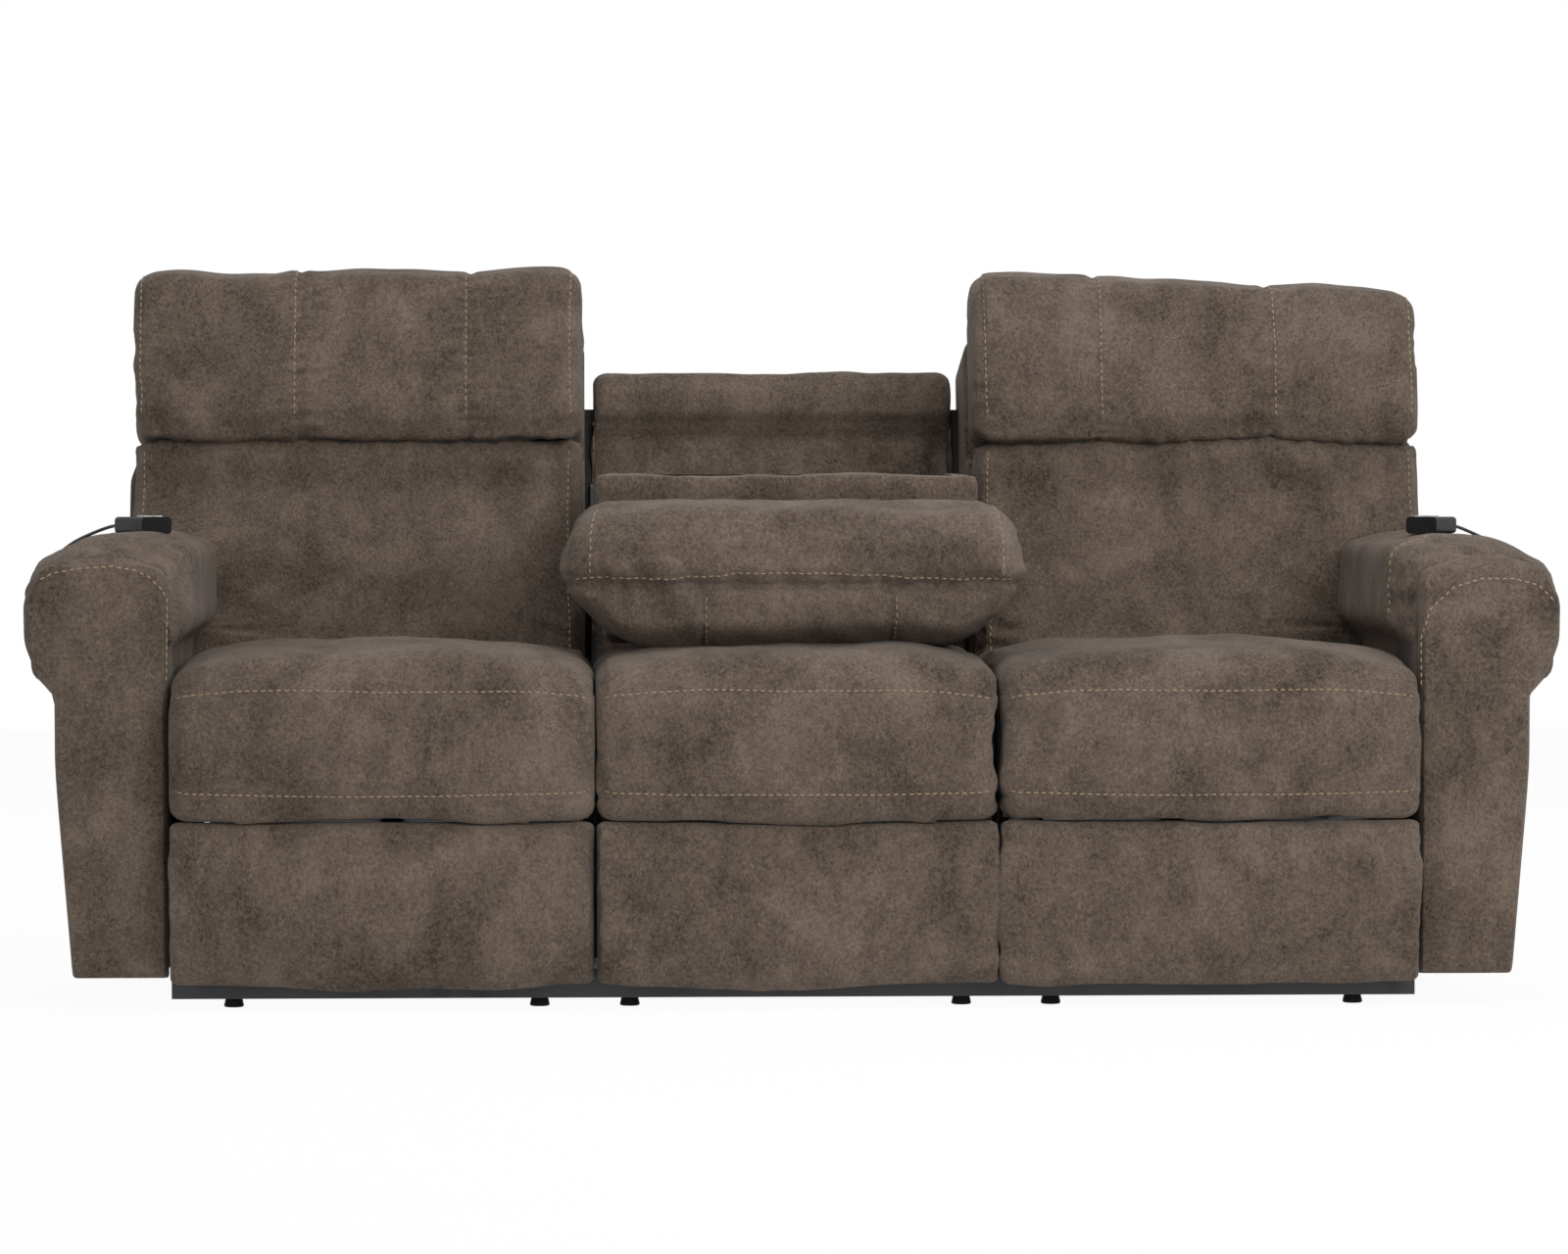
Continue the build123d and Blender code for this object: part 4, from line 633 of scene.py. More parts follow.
def lumbar(side, name, seed):
    """Lumbar cushion: full in its middle, rolled into the crease at its top, with a wing past the arm.

    Formula: a unit section stretched as back_rows does, its front by a sine of the height; tucks fan out
    from the place where the arm's pad presses on it, as the sine of the angle round that place.
    """
    size = bpy.context.scene.sofa_mesh
    unit = outline([(0.012, 1.0, 0.03), (0.0, 0.55, 0.15), (0.022, 0.16, 0.05), (0.09, 0.02, 0.08),
                    (0.5, -0.06, 0.4), (0.91, 0.02, 0.08), (0.978, 0.16, 0.05), (1.0, 0.55, 0.15),
                    (0.988, 1.0, 0.03)], size.around)

    def front(along):
        middle = np.sin(np.clip((along - 0.03) / 0.458, 0, 1) * math.pi) ** 0.8
        return -0.062 - 0.020 * middle - 0.017 * smooth(along, 0.40, 0.47)

    sections, rows = back_rows(0.030, 0.4925, 0.014, 0.007, size.across, BACK_INNER + 0.002,
                               BACK_OUTER - 0.004, BACK_NARROW - 0.006, front, 0.006, unit)
    sections[..., 0] *= side
    points = loft(sections, rows, "z")
    flat = points.copy()
    normals = grid_normals(points)
    u = (side * flat[..., 0] - BACK_INNER) / (BACK_OUTER - BACK_INNER)
    along = flat[..., 2]
    face = smooth(-flat[..., 1], 0.0, 0.04)
    push = ripple(flat, 0.26, seed) * 0.0038 * face + ripple(flat, 0.085, seed + 1) * 0.0009 * face
    tuck = smooth(-along, -0.30, -0.10) * smooth(np.abs(u - 0.5), 0.30, 0.46)
    push += ripple(flat, 0.05, seed + 2, (1, 1, 2.2)) * 0.0030 * tuck * face
    from_arm, from_pad = flat[..., 0] * side - ARM_PRESS[0], along - ARM_PRESS[1]
    away = np.hypot(from_arm, from_pad * 1.2)
    turn = np.arctan2(from_pad, -from_arm)
    push -= 0.0035 * np.maximum(np.sin(turn * TUCKS + seed), 0) ** 2 * valley(away - 0.06, 0.055) * face
    push += ripple(flat, 0.06, seed + 3, (2.4, 1, 0.5)) * 0.0016 * smooth(along, 0.43, 0.48) * face
    points = lean(puffed(points, normals, push, np.abs(u - 0.5) > 0.47))
    normals = grid_normals(points)
    body, top = name + "_back", rows_at(flat, 2, 0.476)
    cover(name + "_lumbar_cushion_cover", points, body, 0.85, name + "_lumbar_cushion")
    for start, column in ((0.115, near(unit, 0.968, 0.14)), (0.06, near(unit, 0.028, 0.14))):
        seam(points, normals, [rows_at(flat, 2, start), top], [column, column], body)


def headrest(side, name, seed, cuts, drop):
    """Headrest pillow in three lobes between two sewn valleys, overhanging the crease.

    Formula: section (across, along) by x; valleys are Gaussians at the two cuts; the top sinks along a
    straight slope towards the arm by drop.
    """
    size = bpy.context.scene.sofa_mesh
    inner, outer = BACK_INNER + 0.004, BACK_OUTER - 0.010
    loop = outline([(0.039, 0.4945, 0.006), (-0.052, 0.4945, 0.004), (-0.072, 0.4865, 0.010),
                    (-0.098, 0.4850, 0.016), (-0.113, 0.522, 0.04), (-0.118, 0.640, 0.10),
                    (-0.106, 0.750, 0.046), (-0.050, 0.776, 0.07), (0.018, 0.768, 0.03),
                    (0.039, 0.738, 0.03)], size.around)
    points = loft(loop, rounded_rows(inner, outer, 0.036, 0.026, size.across))
    flat = points.copy()
    normals = grid_normals(points)
    x = flat[..., 0]
    u = (x - inner) / (outer - inner)
    along, across = flat[..., 2], flat[..., 1]
    face = smooth(-across, -0.02, 0.06)
    top = smooth(along, 0.70, 0.76)
    push = np.zeros_like(u)
    for cut in cuts:
        away = x - (inner + cut * (outer - inner))
        push -= 0.0040 * valley(away, 0.007) * np.maximum(face, 0.5 * top)
        push -= 0.0024 * valley(away, 0.045) * np.maximum(face, 0.4 * top)
        push += ripple(flat, 0.035, seed, (0.5, 1, 2.2)) * 0.0012 * valley(away, 0.04) * face
    push += ripple(flat, 0.23, seed + 1) * 0.0030 * face + ripple(flat, 0.08, seed + 2) * 0.0009
    push += ripple(flat, 0.06, seed + 3, (2, 1, 1)) * 0.0009 * smooth(-along, -0.54, -0.50)
    push += ripple(flat, 0.07, seed + 4, (0.4, 1, 2)) * 0.0008 * smooth(np.abs(u - 0.5), 0.40, 0.48)
    points = puffed(points, normals, push, np.abs(u - 0.5) > 0.47)
    points[..., 2] -= (drop * u + 0.25 * drop) * smooth(along, 0.56, 0.76)
    points[..., 2] -= 0.006 * (np.abs(2 * u - 1) ** 4) * smooth(along, 0.60, 0.76)
    points[..., 0] *= side
    points = lean(points)
    normals = grid_normals(points)
    body = name + "_headrest"
    cover(name + "_headrest_cushion_cover", points, body, 0.9, name + "_headrest_cushion")
    low, high = near(loop, -0.108, 0.520), near(loop, -0.060, 0.776)
    high = high if high > low else high + len(loop)
    beside = [inner + cut * (outer - inner) + 0.007 for cut in cuts]
    for place in beside + [inner + 0.018, outer - 0.012]:
        row = rows_at(flat, 0, place)
        seam(points, normals, [row, row], [low, high], body)


def back_shell(side, name, seed):
    """Upholstered outer back: a flat-faced box with soft edges behind cushion and headrest.

    Formula: a unit section stretched as back_rows does, tighter behind the headrest, with one seam
    valley across its rear.
    """
    size = bpy.context.scene.sofa_mesh
    unit = outline([(0.0, 0.0, 0.01), (0.0, 0.93, 0.06), (0.012, 0.985, 0.02), (0.06, 1.0, 0.05),
                    (0.5, 1.012, 0.3), (0.94, 1.0, 0.05), (0.988, 0.985, 0.02), (1.0, 0.93, 0.06),
                    (1.0, 0.0, 0.01)], size.around)

    def front(along):
        return np.interp(along, [-0.08, 0.04, 0.10, 0.474, 0.486], [0.106, 0.058, 0.016, 0.014, 0.054])

    sections, rows = back_rows(-0.080, BACK_TOP, 0.030, 0.024, size.across, BACK_INNER, BACK_OUTER,
                               BACK_NARROW, front, 0.2375, unit)
    tight = 0.012 * smooth(rows[0], 0.44, 0.49)[:, None]
    sections[..., 0] = BACK_INNER + (sections[..., 0] - BACK_INNER) * (1 - tight / (BACK_OUTER - BACK_INNER))
    sections[..., 0] *= side
    points = loft(sections, rows, "z")
    flat = points.copy()
    normals = grid_normals(points)
    rear = smooth(flat[..., 1], 0.15, 0.22)
    push = ripple(flat, 0.30, seed) * 0.0022 * rear + ripple(flat, 0.09, seed + 1) * 0.0007
    push -= 0.0030 * valley(flat[..., 2] - 0.452, 0.004) * rear
    inner_wall = side * flat[..., 0] < BACK_INNER + 0.004
    points += normals * np.where(inner_wall, 0, np.minimum(push, 0.002))[..., None]
    points = lean(points)
    normals = grid_normals(points)
    cover(name + "_back_shell_cover", points, name + "_back", 0.3, name + "_back_shell")
    row = rows_at(flat, 2, 0.458)
    ends = sorted((near(unit, 0.03, 0.985), near(unit, 0.97, 0.985)))
    seam(points, normals, [row, row], ends, name + "_back")


def middle_back(seed):
    """Fixed middle back: recessed face with soft upright wrinkles under a padded roll.

    Formula: section (across, along) by x; upright ripples and one valley in the recess, one valley
    under the roll.
    """
    size = bpy.context.scene.sofa_mesh
    half = 0.285
    loop = outline([(0.169, -0.060, 0.0), (0.230, -0.060, 0.01), (0.2385, 0.12, 0.2), (0.2385, 0.638, 0.04),
                    (0.200, 0.660, 0.03), (0.158, 0.657, 0.020), (0.147, 0.622, 0.03), (0.148, 0.586, 0.02),
                    (0.159, 0.566, 0.008), (0.170, 0.552, 0.016)], size.around)
    points = loft(loop, rounded_rows(-half, half, 0.022, 0.016, size.across))
    flat = points.copy()
    normals = grid_normals(points)
    x, across, along = flat[..., 0], flat[..., 1], flat[..., 2]
    face = smooth(-across, -0.20, -0.15)
    recess = face * smooth(-along, -0.56, -0.53)
    push = ripple(flat, 0.045, seed, (1, 1, 0.16)) * 0.0050 * recess
    push += ripple(flat, 0.02, seed + 1, (1, 1, 0.5)) * 0.0008 * recess
    push -= 0.005 * valley(x - 0.155, 0.006) * recess
    push -= 0.003 * valley(along - 0.574, 0.005) * face
    push += ripple(flat, 0.20, seed + 2) * 0.0025 * face * (1 - recess)
    push += ripple(flat, 0.07, seed + 3) * 0.0007
    points = lean(puffed(points, normals, push, recess > 0.5, 0.005))
    cover("middle_back_cover_cloth", points, "base", 0.7, "middle_back_cover")


def squeeze(piece):
    """Give a wide soft piece its own copy of its mesh."""
    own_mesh(piece)


# The console pillow: height of the seam between its lobes, the lower lobe's two cuts, and its half width
# at some heights.
LOBE_SEAM = 0.607
LOBE_CUTS = (-0.132, 0.142)
PILLOW_HEIGHTS = [0.505, 0.518, 0.535, 0.560, 0.588, 0.607, 0.628, 0.650, 0.680, 0.700, 0.718, 0.732]
PILLOW_WIDTHS = [0.236, 0.252, 0.272, 0.298, 0.321, 0.328, 0.332, 0.331, 0.324, 0.317, 0.309, 0.300]


def console_pillow(seed):
    """Pillow at the console's front: two lobes over each other, wide cheeks past two side seams.

    Formula: section (y, z) by x from -1 to 1, and x is multiplied by the half width at its height, read
    from a short table; seams are Gaussian valleys across the front between the lobes, up the front at
    each side, and down the lower lobe at two cuts.
    """
    size = bpy.context.scene.sofa_mesh
    loop = outline([(-0.170, 0.524, 0.010), (-0.250, 0.512, 0.05), (-0.346, 0.510, 0.040),
                    (-0.392, 0.545, 0.045), (-0.3945, 0.588, 0.02), (-0.386, 0.607, 0.008),
                    (-0.399, 0.630, 0.02), (-0.402, 0.668, 0.05), (-0.372, 0.718, 0.050),
                    (-0.290, 0.731, 0.07), (-0.170, 0.727, 0.02)], size.around)
    points = loft(loop, rounded_rows(-1.0, 1.0, 0.15, 0.036, size.across, 20))
    z = points[..., 2]
    reach = points[..., 0]
    points[..., 0] = reach * np.interp(z, PILLOW_HEIGHTS, PILLOW_WIDTHS)
    rear = smooth(points[..., 1], -0.26, -0.17)
    points[..., 0] *= 1 - 0.13 * rear * smooth(np.abs(reach), 0.3, 0.9)
    points[..., 0] += 0.0025 * (1 - rear)
    points[..., 1] += 0.026 * smooth(np.abs(reach), 0.76, 1.0) ** 2 * (1 - rear)
    flat = points.copy()
    normals = grid_normals(points)
    x, y, z = flat[..., 0], flat[..., 1], flat[..., 2]
    front = smooth(-y, 0.27, 0.35)
    lower, upper = smooth(-z, -LOBE_SEAM, -0.600), smooth(z, LOBE_SEAM, 0.616)
    push = np.zeros_like(x)
    for cut in LOBE_CUTS:
        push -= 0.0035 * valley(x - cut, 0.005) * lower * front
        push -= 0.003 * valley(x - cut, 0.030) * lower * front
    edge = 0.285 - 0.030 * smooth(np.abs(z - 0.655), 0.0, 0.09)
    push -= 0.0040 * valley(np.abs(x) - edge, 0.0055) * upper * smooth(-y, 0.20, 0.30)
    push -= 0.006 * valley(z - LOBE_SEAM, 0.005) * front
    push += 0.004 * valley(z - 0.632, 0.016) * front
    push += 0.0012 * ripple(flat, 0.055, seed, (1, 1, 2.0)) * smooth(np.abs(x), 0.27, 0.32) * front
    push += ripple(flat, 0.17, seed + 1) * 0.0034 * front + ripple(flat, 0.065, seed + 2) * 0.0009
    push += ripple(flat, 0.045, seed + 3, (2.2, 1, 1)) * 0.0014 * valley(z - LOBE_SEAM, 0.03) * front
    points += normals * push[..., None]
    normals = grid_normals(points)
    squeeze(cover("console_pillow_cover", points, "console", 0.95, "console_pillow"))

    def row_of(value, column):
        return float(np.interp(value, points[:, column % len(loop), 0], np.arange(len(points))))

    def sew(places, columns):
        rows = [row_of(place, int(column)) for place, column in zip(places, columns)]
        seam(points, normals, rows, columns, "console_pillow")

    level, top = near(loop, -0.396, 0.618), near(loop, -0.330, 0.728)
    low, high = near(loop, -0.360, 0.516), near(loop, -0.393, 0.592)
    knots = [row_of(place, level) for place in np.linspace(-0.322, 0.322, 13)]
    bow = 1.6 * np.cos(np.linspace(-math.pi, math.pi, 13))
    seam(points, normals, knots, level + bow, "console_pillow")
    for sign in (-1, 1):
        sew(sign * (0.300 - 0.012 * np.linspace(-0.2, 1, 9) ** 2) + 0.003, np.linspace(level, top, 9))
    for cut in LOBE_CUTS:
        sew(np.full(5, cut + 0.005), np.linspace(low, high, 5))


def console_underside(seed):
    """Padding under the console, the middle seat's backrest when it is raised."""
    size = bpy.context.scene.sofa_mesh
    loop = outline([(-0.169, 0.526, 0.01), (-0.060, 0.5135, 0.2), (0.160, 0.521, 0.03), (0.186, 0.545, 0.02),
                    (0.177, 0.5625, 0.006), (-0.169, 0.5625, 0.0)], size.around)
    points = loft(loop, rounded_rows(-0.273, 0.273, 0.02, 0.014, size.across // 2))
    normals = grid_normals(points)
    low = smooth(-points[..., 2], -0.545, -0.53)
    push = ripple(points, 0.16, seed) * 0.0014 * low + ripple(points, 0.06, seed + 1) * 0.0006 * low
    points = puffed(points, normals, push, True, 0.001)
    cover("console_underside_cover", points, "console", 0.6, "console_cushion")


def console_rim(seed):
    """Upholstered wall round the console's tray: a rounded section carried round the plan.

    Formula: a point is between the inner and outer plan loops by the section's first number, at the
    height of its second; both rows and columns wrap.
    """
    size = bpy.context.scene.sofa_mesh
    outer = outline([(-0.287, -0.165, 0.02), (0.287, -0.165, 0.02), (0.287, 0.050, 0.012),
                     (0.274, 0.064, 0.012), (0.274, 0.165, 0.016), (-0.274, 0.165, 0.016),
                     (-0.274, 0.064, 0.012), (-0.287, 0.050, 0.012)], size.across * 2)
    inner = outline([(-0.2355, -0.1265, 0.02), (0.2355, -0.1265, 0.02), (0.2355, 0.1265, 0.02),
                     (-0.2355, 0.1265, 0.02)], size.across * 8)
    span = np.linalg.norm(inner[None] - outer[:, None], axis=2)
    inner = inner[np.argmin(span, axis=1)]
    section = outline([(0.0, 0.582, 0.0), (1.0, 0.582, 0.002), (1.0, 0.752, 0.03), (0.90, 0.7655, 0.10),
                       (0.5, 0.769, 0.2), (0.12, 0.7655, 0.06), (0.0, 0.757, 0.01)], size.around // 2)
    blend = section[None, :, 0, None]
    plan = inner[:, None] * (1 - blend) + outer[:, None] * blend
    height = np.broadcast_to(section[None, :, 1:], plan.shape[:2] + (1,))
    points = np.concatenate([plan, height], -1)
    over = np.roll(points, -1, 1) - np.roll(points, 1, 1)
    down = np.roll(points, -1, 0) - np.roll(points, 1, 0)
    normals = normed(np.cross(down, over), 1e-9)
    top = normals[:, near(section, 0.5, 0.769), 2].mean()
    normals *= math.copysign(1, top)
    lift = ripple(points, 0.14, seed) * 0.0014 + ripple(points, 0.05, seed + 1) * 0.0005
    points = points + normals * (lift * smooth(points[..., 2], 0.62, 0.70))[..., None]
    index = np.arange(points.shape[0] * points.shape[1]).reshape(points.shape[:2])
    right, below = np.roll(index, -1, 1), np.roll(index, -1, 0)
    quads = np.stack([index, below, np.roll(below, -1, 1), right], -1).reshape(-1, 4)
    quads = quads if top > 0 else quads[:, ::-1]
    piece = mesh_object("console_surround_cover", points, [quads], finish_of("fabric"))
    declare(piece, "console", 0.5, "console_surround")


def arm_cover(side, name, seed):
    """Arm under its roll: the front outline carried back, its pad puffed up behind the facing.

    Formula: outline (x, z) by y; y is stretched so that the rear end follows the cut along the leaning
    back; the pad's top and inner bulge grow from the facing's outline on a quarter circle.
    """
    size = bpy.context.scene.sofa_mesh
    corners = [(1.040, 0.056, 0.010), (1.064, 0.340, 0.30), (1.064, 0.452, 0.012), (1.100, 0.480, 0.036),
               (1.107, 0.636, 0.085), (1.020, 0.678, 0.10), (0.930, 0.682, 0.08), (0.868, 0.662, 0.075),
               (0.862, 0.552, 0.045), (0.900, 0.520, 0.015), (0.900, 0.056, 0.006)]
    loop = outline(corners, size.around)
    low, high = -0.430, 0.115
    points = loft(loop, rounded_rows(low, high, 0.014, 0.008, size.across), "y", (1.0, 0.53))
    x, y, z = points[..., 0], points[..., 1], points[..., 2]
    rise = np.sin(np.clip((y - low) / 0.085, 0, 1) * math.pi / 2)
    points[..., 2] -= (1 - rise) * 0.040 * smooth(z, 0.56, 0.66)
    points[..., 0] += (1 - rise) * np.clip(0.905 - x, 0, 1) * smooth(z, 0.50, 0.56)
    end = np.interp(z, [0.39, 0.43, 0.69], [0.113, 0.0695, 0.1295])
    points[..., 1] = low + (y - low) * (end - low) / (high - low)
    flat = points.copy()
    normals = grid_normals(points)
    pad = smooth(flat[..., 2], 0.50, 0.56)
    push = ripple(flat, 0.16, seed) * 0.0018 * pad + ripple(flat, 0.07, seed + 1) * 0.0007
    push += ripple(flat, 0.20, seed + 2) * 0.0012 * (1 - pad) * smooth(flat[..., 0], 1.02, 1.05)
    push += ripple(flat, 0.040, seed + 3, (1, 2.0, 1)) * 0.0020 * pad * valley(flat[..., 1] + 0.42, 0.05)
    push = np.where((flat[..., 0] < 0.91) & (flat[..., 2] < 0.52), np.minimum(push, 0), push)
    points += normals * push[..., None]
    points[..., 0] *= side
    cover(name + "_arm_upholstery", points, "base", 0.8, name + "_arm_cover")
    normals = grid_normals(points)
    under_roll = near(loop, 1.064, 0.458) - 2
    seam(points, normals, [rows_at(flat, 1, -0.42), rows_at(flat, 1, 0.10)], [under_roll, under_roll], "base")
    if side > 0:
        over_pad = sorted((near(loop, 0.925, 0.681), near(loop, 0.866, 0.560)))
        row = rows_at(flat, 1, -0.372)
        seam(points, normals, [row, row], over_pad, "base")


RIM_POINTS, SEAM_POINTS, SEAM_MEAN = 1600, 420, 17


# Seam that runs round each facing under its top, (x, z) of the points it passes through.
FACING_SEAMS = {
    "left": [(-1.0846, 0.6155), (-1.062, 0.626), (-1.024, 0.6325), (-0.980, 0.635), (-0.948, 0.6295),
             (-0.927, 0.6195), (-0.9115, 0.604), (-0.903, 0.5885), (-0.9035, 0.48), (-0.9045, 0.468)],
    "right": [(0.9045, 0.46), (0.9040, 0.53), (0.915, 0.572), (0.949, 0.604), (0.990, 0.6165),
              (1.037, 0.6165), (1.073, 0.607), (1.0955, 0.584)],
}


def arm_facing(side, name, seed):
    """Upholstered facing on an arm's front end, with the outline of the roll.

    Formula: a thin rounded section (x, y) by z, whose two ends follow the outline at that height, with
    rows close together under the top; the front bulges over the roll and ripples a little. The seam is
    laid on the front at the points nearest to its line, its depth a running mean of theirs.
    """
    size = bpy.context.scene.sofa_mesh
    corners = [(1.039, 0.044, 0.010), (1.0635, 0.340, 0.30), (1.0640, 0.448, 0.010), (1.088, 0.475, 0.020),
               (1.107, 0.525, 0.04), (1.108, 0.585, 0.05), (1.085, 0.632, 0.05), (1.040, 0.645, 0.05),
               (0.965, 0.6475, 0.05), (0.903, 0.628, 0.045), (0.902, 0.044, 0.006)]
    rim = outline(corners, RIM_POINTS)
    foot, peak = rim[:, 1].min() + 0.0005, rim[:, 1].max() - 0.0001
    heights = foot + (peak - foot) * (1 - (1 - np.linspace(0, 1, size.across * 2)) ** 1.7)
    crest = rim[np.argmax(rim[:, 1]), 0]
    edges = []
    for half in (rim[rim[:, 0] <= crest], rim[rim[:, 0] > crest]):
        half = half[half[:, 1] > foot - 0.0004]
        order = np.argsort(half[:, 1])
        edges.append(np.interp(heights, half[order, 1], half[order, 0]))
    unit = outline([(0, 1, 0.02), (0, 0.45, 0.4), (0.035, 0.05, 0.05), (0.5, -0.06, 0.4),
                    (0.965, 0.05, 0.05), (1, 0.45, 0.4), (1, 1, 0.02)], size.around)
    x = edges[0][:, None] + (edges[1] - edges[0])[:, None] * unit[None, :, 0]
    pull = 0.010 * (valley(heights - foot, 0.008) + valley(heights - peak, 0.010))[:, None]
    y = -0.4605 + pull + (0.031 - pull) * unit[None, :, 1]
    points = np.stack([x, y, np.broadcast_to(heights[:, None], x.shape)], -1)
    flat = points.copy()
    face = smooth(-y, 0.445, 0.458)
    z = points[..., 2]
    push = ripple(flat, 0.13, seed, (1, 1, 0.7)) * 0.0018 * face
    push += ripple(flat, 0.05, seed + 1) * 0.0006 * face
    push += ripple(flat, 0.09, seed + 2, (2.6, 1, 0.7)) * 0.0010 * face * valley(z - 0.45, 0.10)
    push += (0.003 * smooth(z, 0.48, 0.60) - 0.0020 * valley(z - 0.478, 0.02)) * face
    points[..., 1] -= push
    points[..., 0] *= side
    course = even(FACING_SEAMS[name], SEAM_POINTS)
    front = points[:, np.abs(unit[:, 1]) < 0.3]
    spots = np.argmin(((course[:, None] - front[..., [0, 2]].reshape(1, -1, 2)) ** 2).sum(2), axis=1)
    depth = np.pad(front[..., 1].ravel()[spots], SEAM_MEAN // 2, "edge")
    depth = np.convolve(depth, np.full(SEAM_MEAN, 1 / SEAM_MEAN), "valid")
    seam_line = np.stack([course[:, 0], depth, course[:, 1]], 1)
    stitch(seam_line, np.tile([0, -1.0, 0], (SEAM_POINTS, 1)), "base")
    return cover(name + "_arm_facing", points, "base", 0.8)


def box_strip(low, high, rows=12):
    """A plain upright strip between two corners, as a closed grid of four columns."""
    x = np.array([low[0], high[0], high[0], low[0]])
    y = np.array([low[1], low[1], high[1], high[1]])
    z = np.linspace(low[2], high[2], rows)
    return np.stack(np.broadcast_arrays(x, y, z[:, None]), -1)


# Two corners of each black sheet on the right; the left ones are mirrored. The gusset's are leaned. The seat
# and corner sheets are painted shade: black where the slits between the seats and between the front pads lie
# in shade.
SLIT_SHEETS = {
    "back_gusset": ((0.280, 0.176, -0.06), (0.2997, 0.236, 0.600)),
    "seat_slit_shade": ((0.2895, -0.462, 0.062), (0.2905, 0.050, 0.470)),
    "corner_slit_shade": ((0.272, -0.438, 0.070), (0.308, -0.433, 0.286)),
}
# Black sheet of painted shade in the slit between the middle seat's lip and its front panel.
LIP_SLIT_SHADE = ((-0.280, -0.468, 0.240), (0.280, -0.4655, 0.278))


def gap_shade_sheets():
    """Black sheets that close the slits: one beside the middle back, and painted shade between the seats,
    behind the front pads' slits and under a lip.
    """
    parts = {}
    for name, side in SIDES.items():
        for kind, (low, high) in SLIT_SHEETS.items():
            first, last = sorted((side * low[0], side * high[0]))
            strip = box_strip((first, *low[1:]), (last, *high[1:]))
            parts[name + "_" + kind] = lean(strip) if kind == "back_gusset" else strip
    parts["middle_lip_lining"] = box_strip(*LIP_SLIT_SHADE)
    for name, points in parts.items():
        piece = closed_piece(name, points, finish_of("lining"))
        piece.data.polygons.foreach_set("use_smooth", np.full(len(piece.data.polygons), False))
        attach(piece, "base")


# ---------------------------------------------------------------- cords
CORD_ROUTE = [(0.98129, -0.18422, 0.6928), (0.99186, -0.16047, 0.6928), (1.008, -0.134, 0.691),
              (1.034, -0.110, 0.682), (1.068, -0.094, 0.667), (1.099, -0.083, 0.642),
              (1.116, -0.072, 0.596), (1.117, -0.062, 0.540), (1.112, -0.053, 0.480),
              (1.098, -0.044, 0.422), (1.085, -0.036, 0.362), (1.077, -0.030, 0.300),
              (1.074, -0.022, 0.236), (1.068, -0.018, 0.174), (1.062, -0.010, 0.116),
              (1.056, -0.008, 0.074), (1.045, -0.006, 0.045), (1.029, -0.005, 0.030),
              (1.008, -0.005, 0.028), (1.008, -0.005, 0.050)]
CORD_LENGTH, CORD_WIDTH = 0.845, 0.005


def handset_cord(side, name):
    """Lead of a handset: it leaves the casing's rear, rolls over the arm and goes up into its underside."""
    line = bpy.data.curves.new(name + "_handset_lead", "CURVE")
    line.dimensions = "3D"
    spline = line.splines.new("NURBS")
    spline.points.add(len(CORD_ROUTE) - 1)
    for point, (x, y, z) in zip(spline.points, CORD_ROUTE):
        point.co = (side * x, y, z, 1)
    spline.order_u = 3
    spline.use_endpoint_u = True
    spline.resolution_u = 12
    line.bevel_depth = CORD_WIDTH / 2
    line.bevel_resolution = 5
    line.use_fill_caps = True
    line.materials.append(finish_of("cord"))
    lead = bpy.data.objects.new(name + "_handset_lead", line)
    bpy.context.scene.collection.objects.link(lead)
    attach(lead, "base")
    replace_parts(lead, name + "_handset_cord")


# ---------------------------------------------------------------- finishes of the frame's own pieces
FRAME_FINISH = {
    "paint": ["base_long_rails", "base_cross_rails", "console_hinge_plates", "headrest_frame",
              "seat_mechanism", "footrest_lower_links", "footrest_upper_links", "back_frame"],
    "steel": ["mechanism_tracks", "arm_bolts", "drive_block"],
    "wood": ["base_side_panels", "arm_frames", "seat_frame"],
    "lining": ["footrest_board", "console_frame"],
    "plastic": ["glide_feet", "handset_casings", "handset_reliefs", "cord_grommets", "console_tray"],
    "buttons": ["_button"],
}


def dress_frame(groups):
    """Give every frame piece whose name ends on one of the groups' words that group's finish."""
    for finish, words in groups.items():
        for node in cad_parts:
            if any(node.endswith(word) for word in words):
                piece = bpy.data.objects[node]
                piece.data.materials.clear()
                piece.data.materials.append(finish_of(finish))


# ---------------------------------------------------------------- stage
WHITE, FLOOR_HALF = (1, 1, 1, 1), 9
CAMERA_AIM = Vector((-0.003, -0.1, 0.539))
SKY_LIGHT, FLOOR_GLOW = 0.45, 0.95
LAMPS = {  # place, aim, width and height, power
    "key": ((2.6, -4.2, 2.9), (0, 0, 0.5), (2.4, 2.0), 112),
    "fill": ((-3.2, -3.8, 2.0), (0, 0, 0.5), (2.4, 2.4), 8),
    "top": ((0.2, -0.8, 3.6), (0, 0.1, 0.4), (3.2, 2.0), 45),
    "rear": ((0.5, 4.0, 2.6), (0, 0, 0.5), (3.0, 2.0), 45),
}


def stage_finish(owner):
    """Shader of the floor or the sky, and 1 for the rays by which the camera, a mirror or glass sees it."""
    finish = Finish(owner.name, owner)
    kinds = ("Is Camera Ray", "Is Glossy Ray", "Is Transmission Ray")
    camera_ray, glossy, through = [finish.node("ShaderNodeLightPath", {}, {}, kind) for kind in kinds]
    return finish, camera_ray + glossy + through


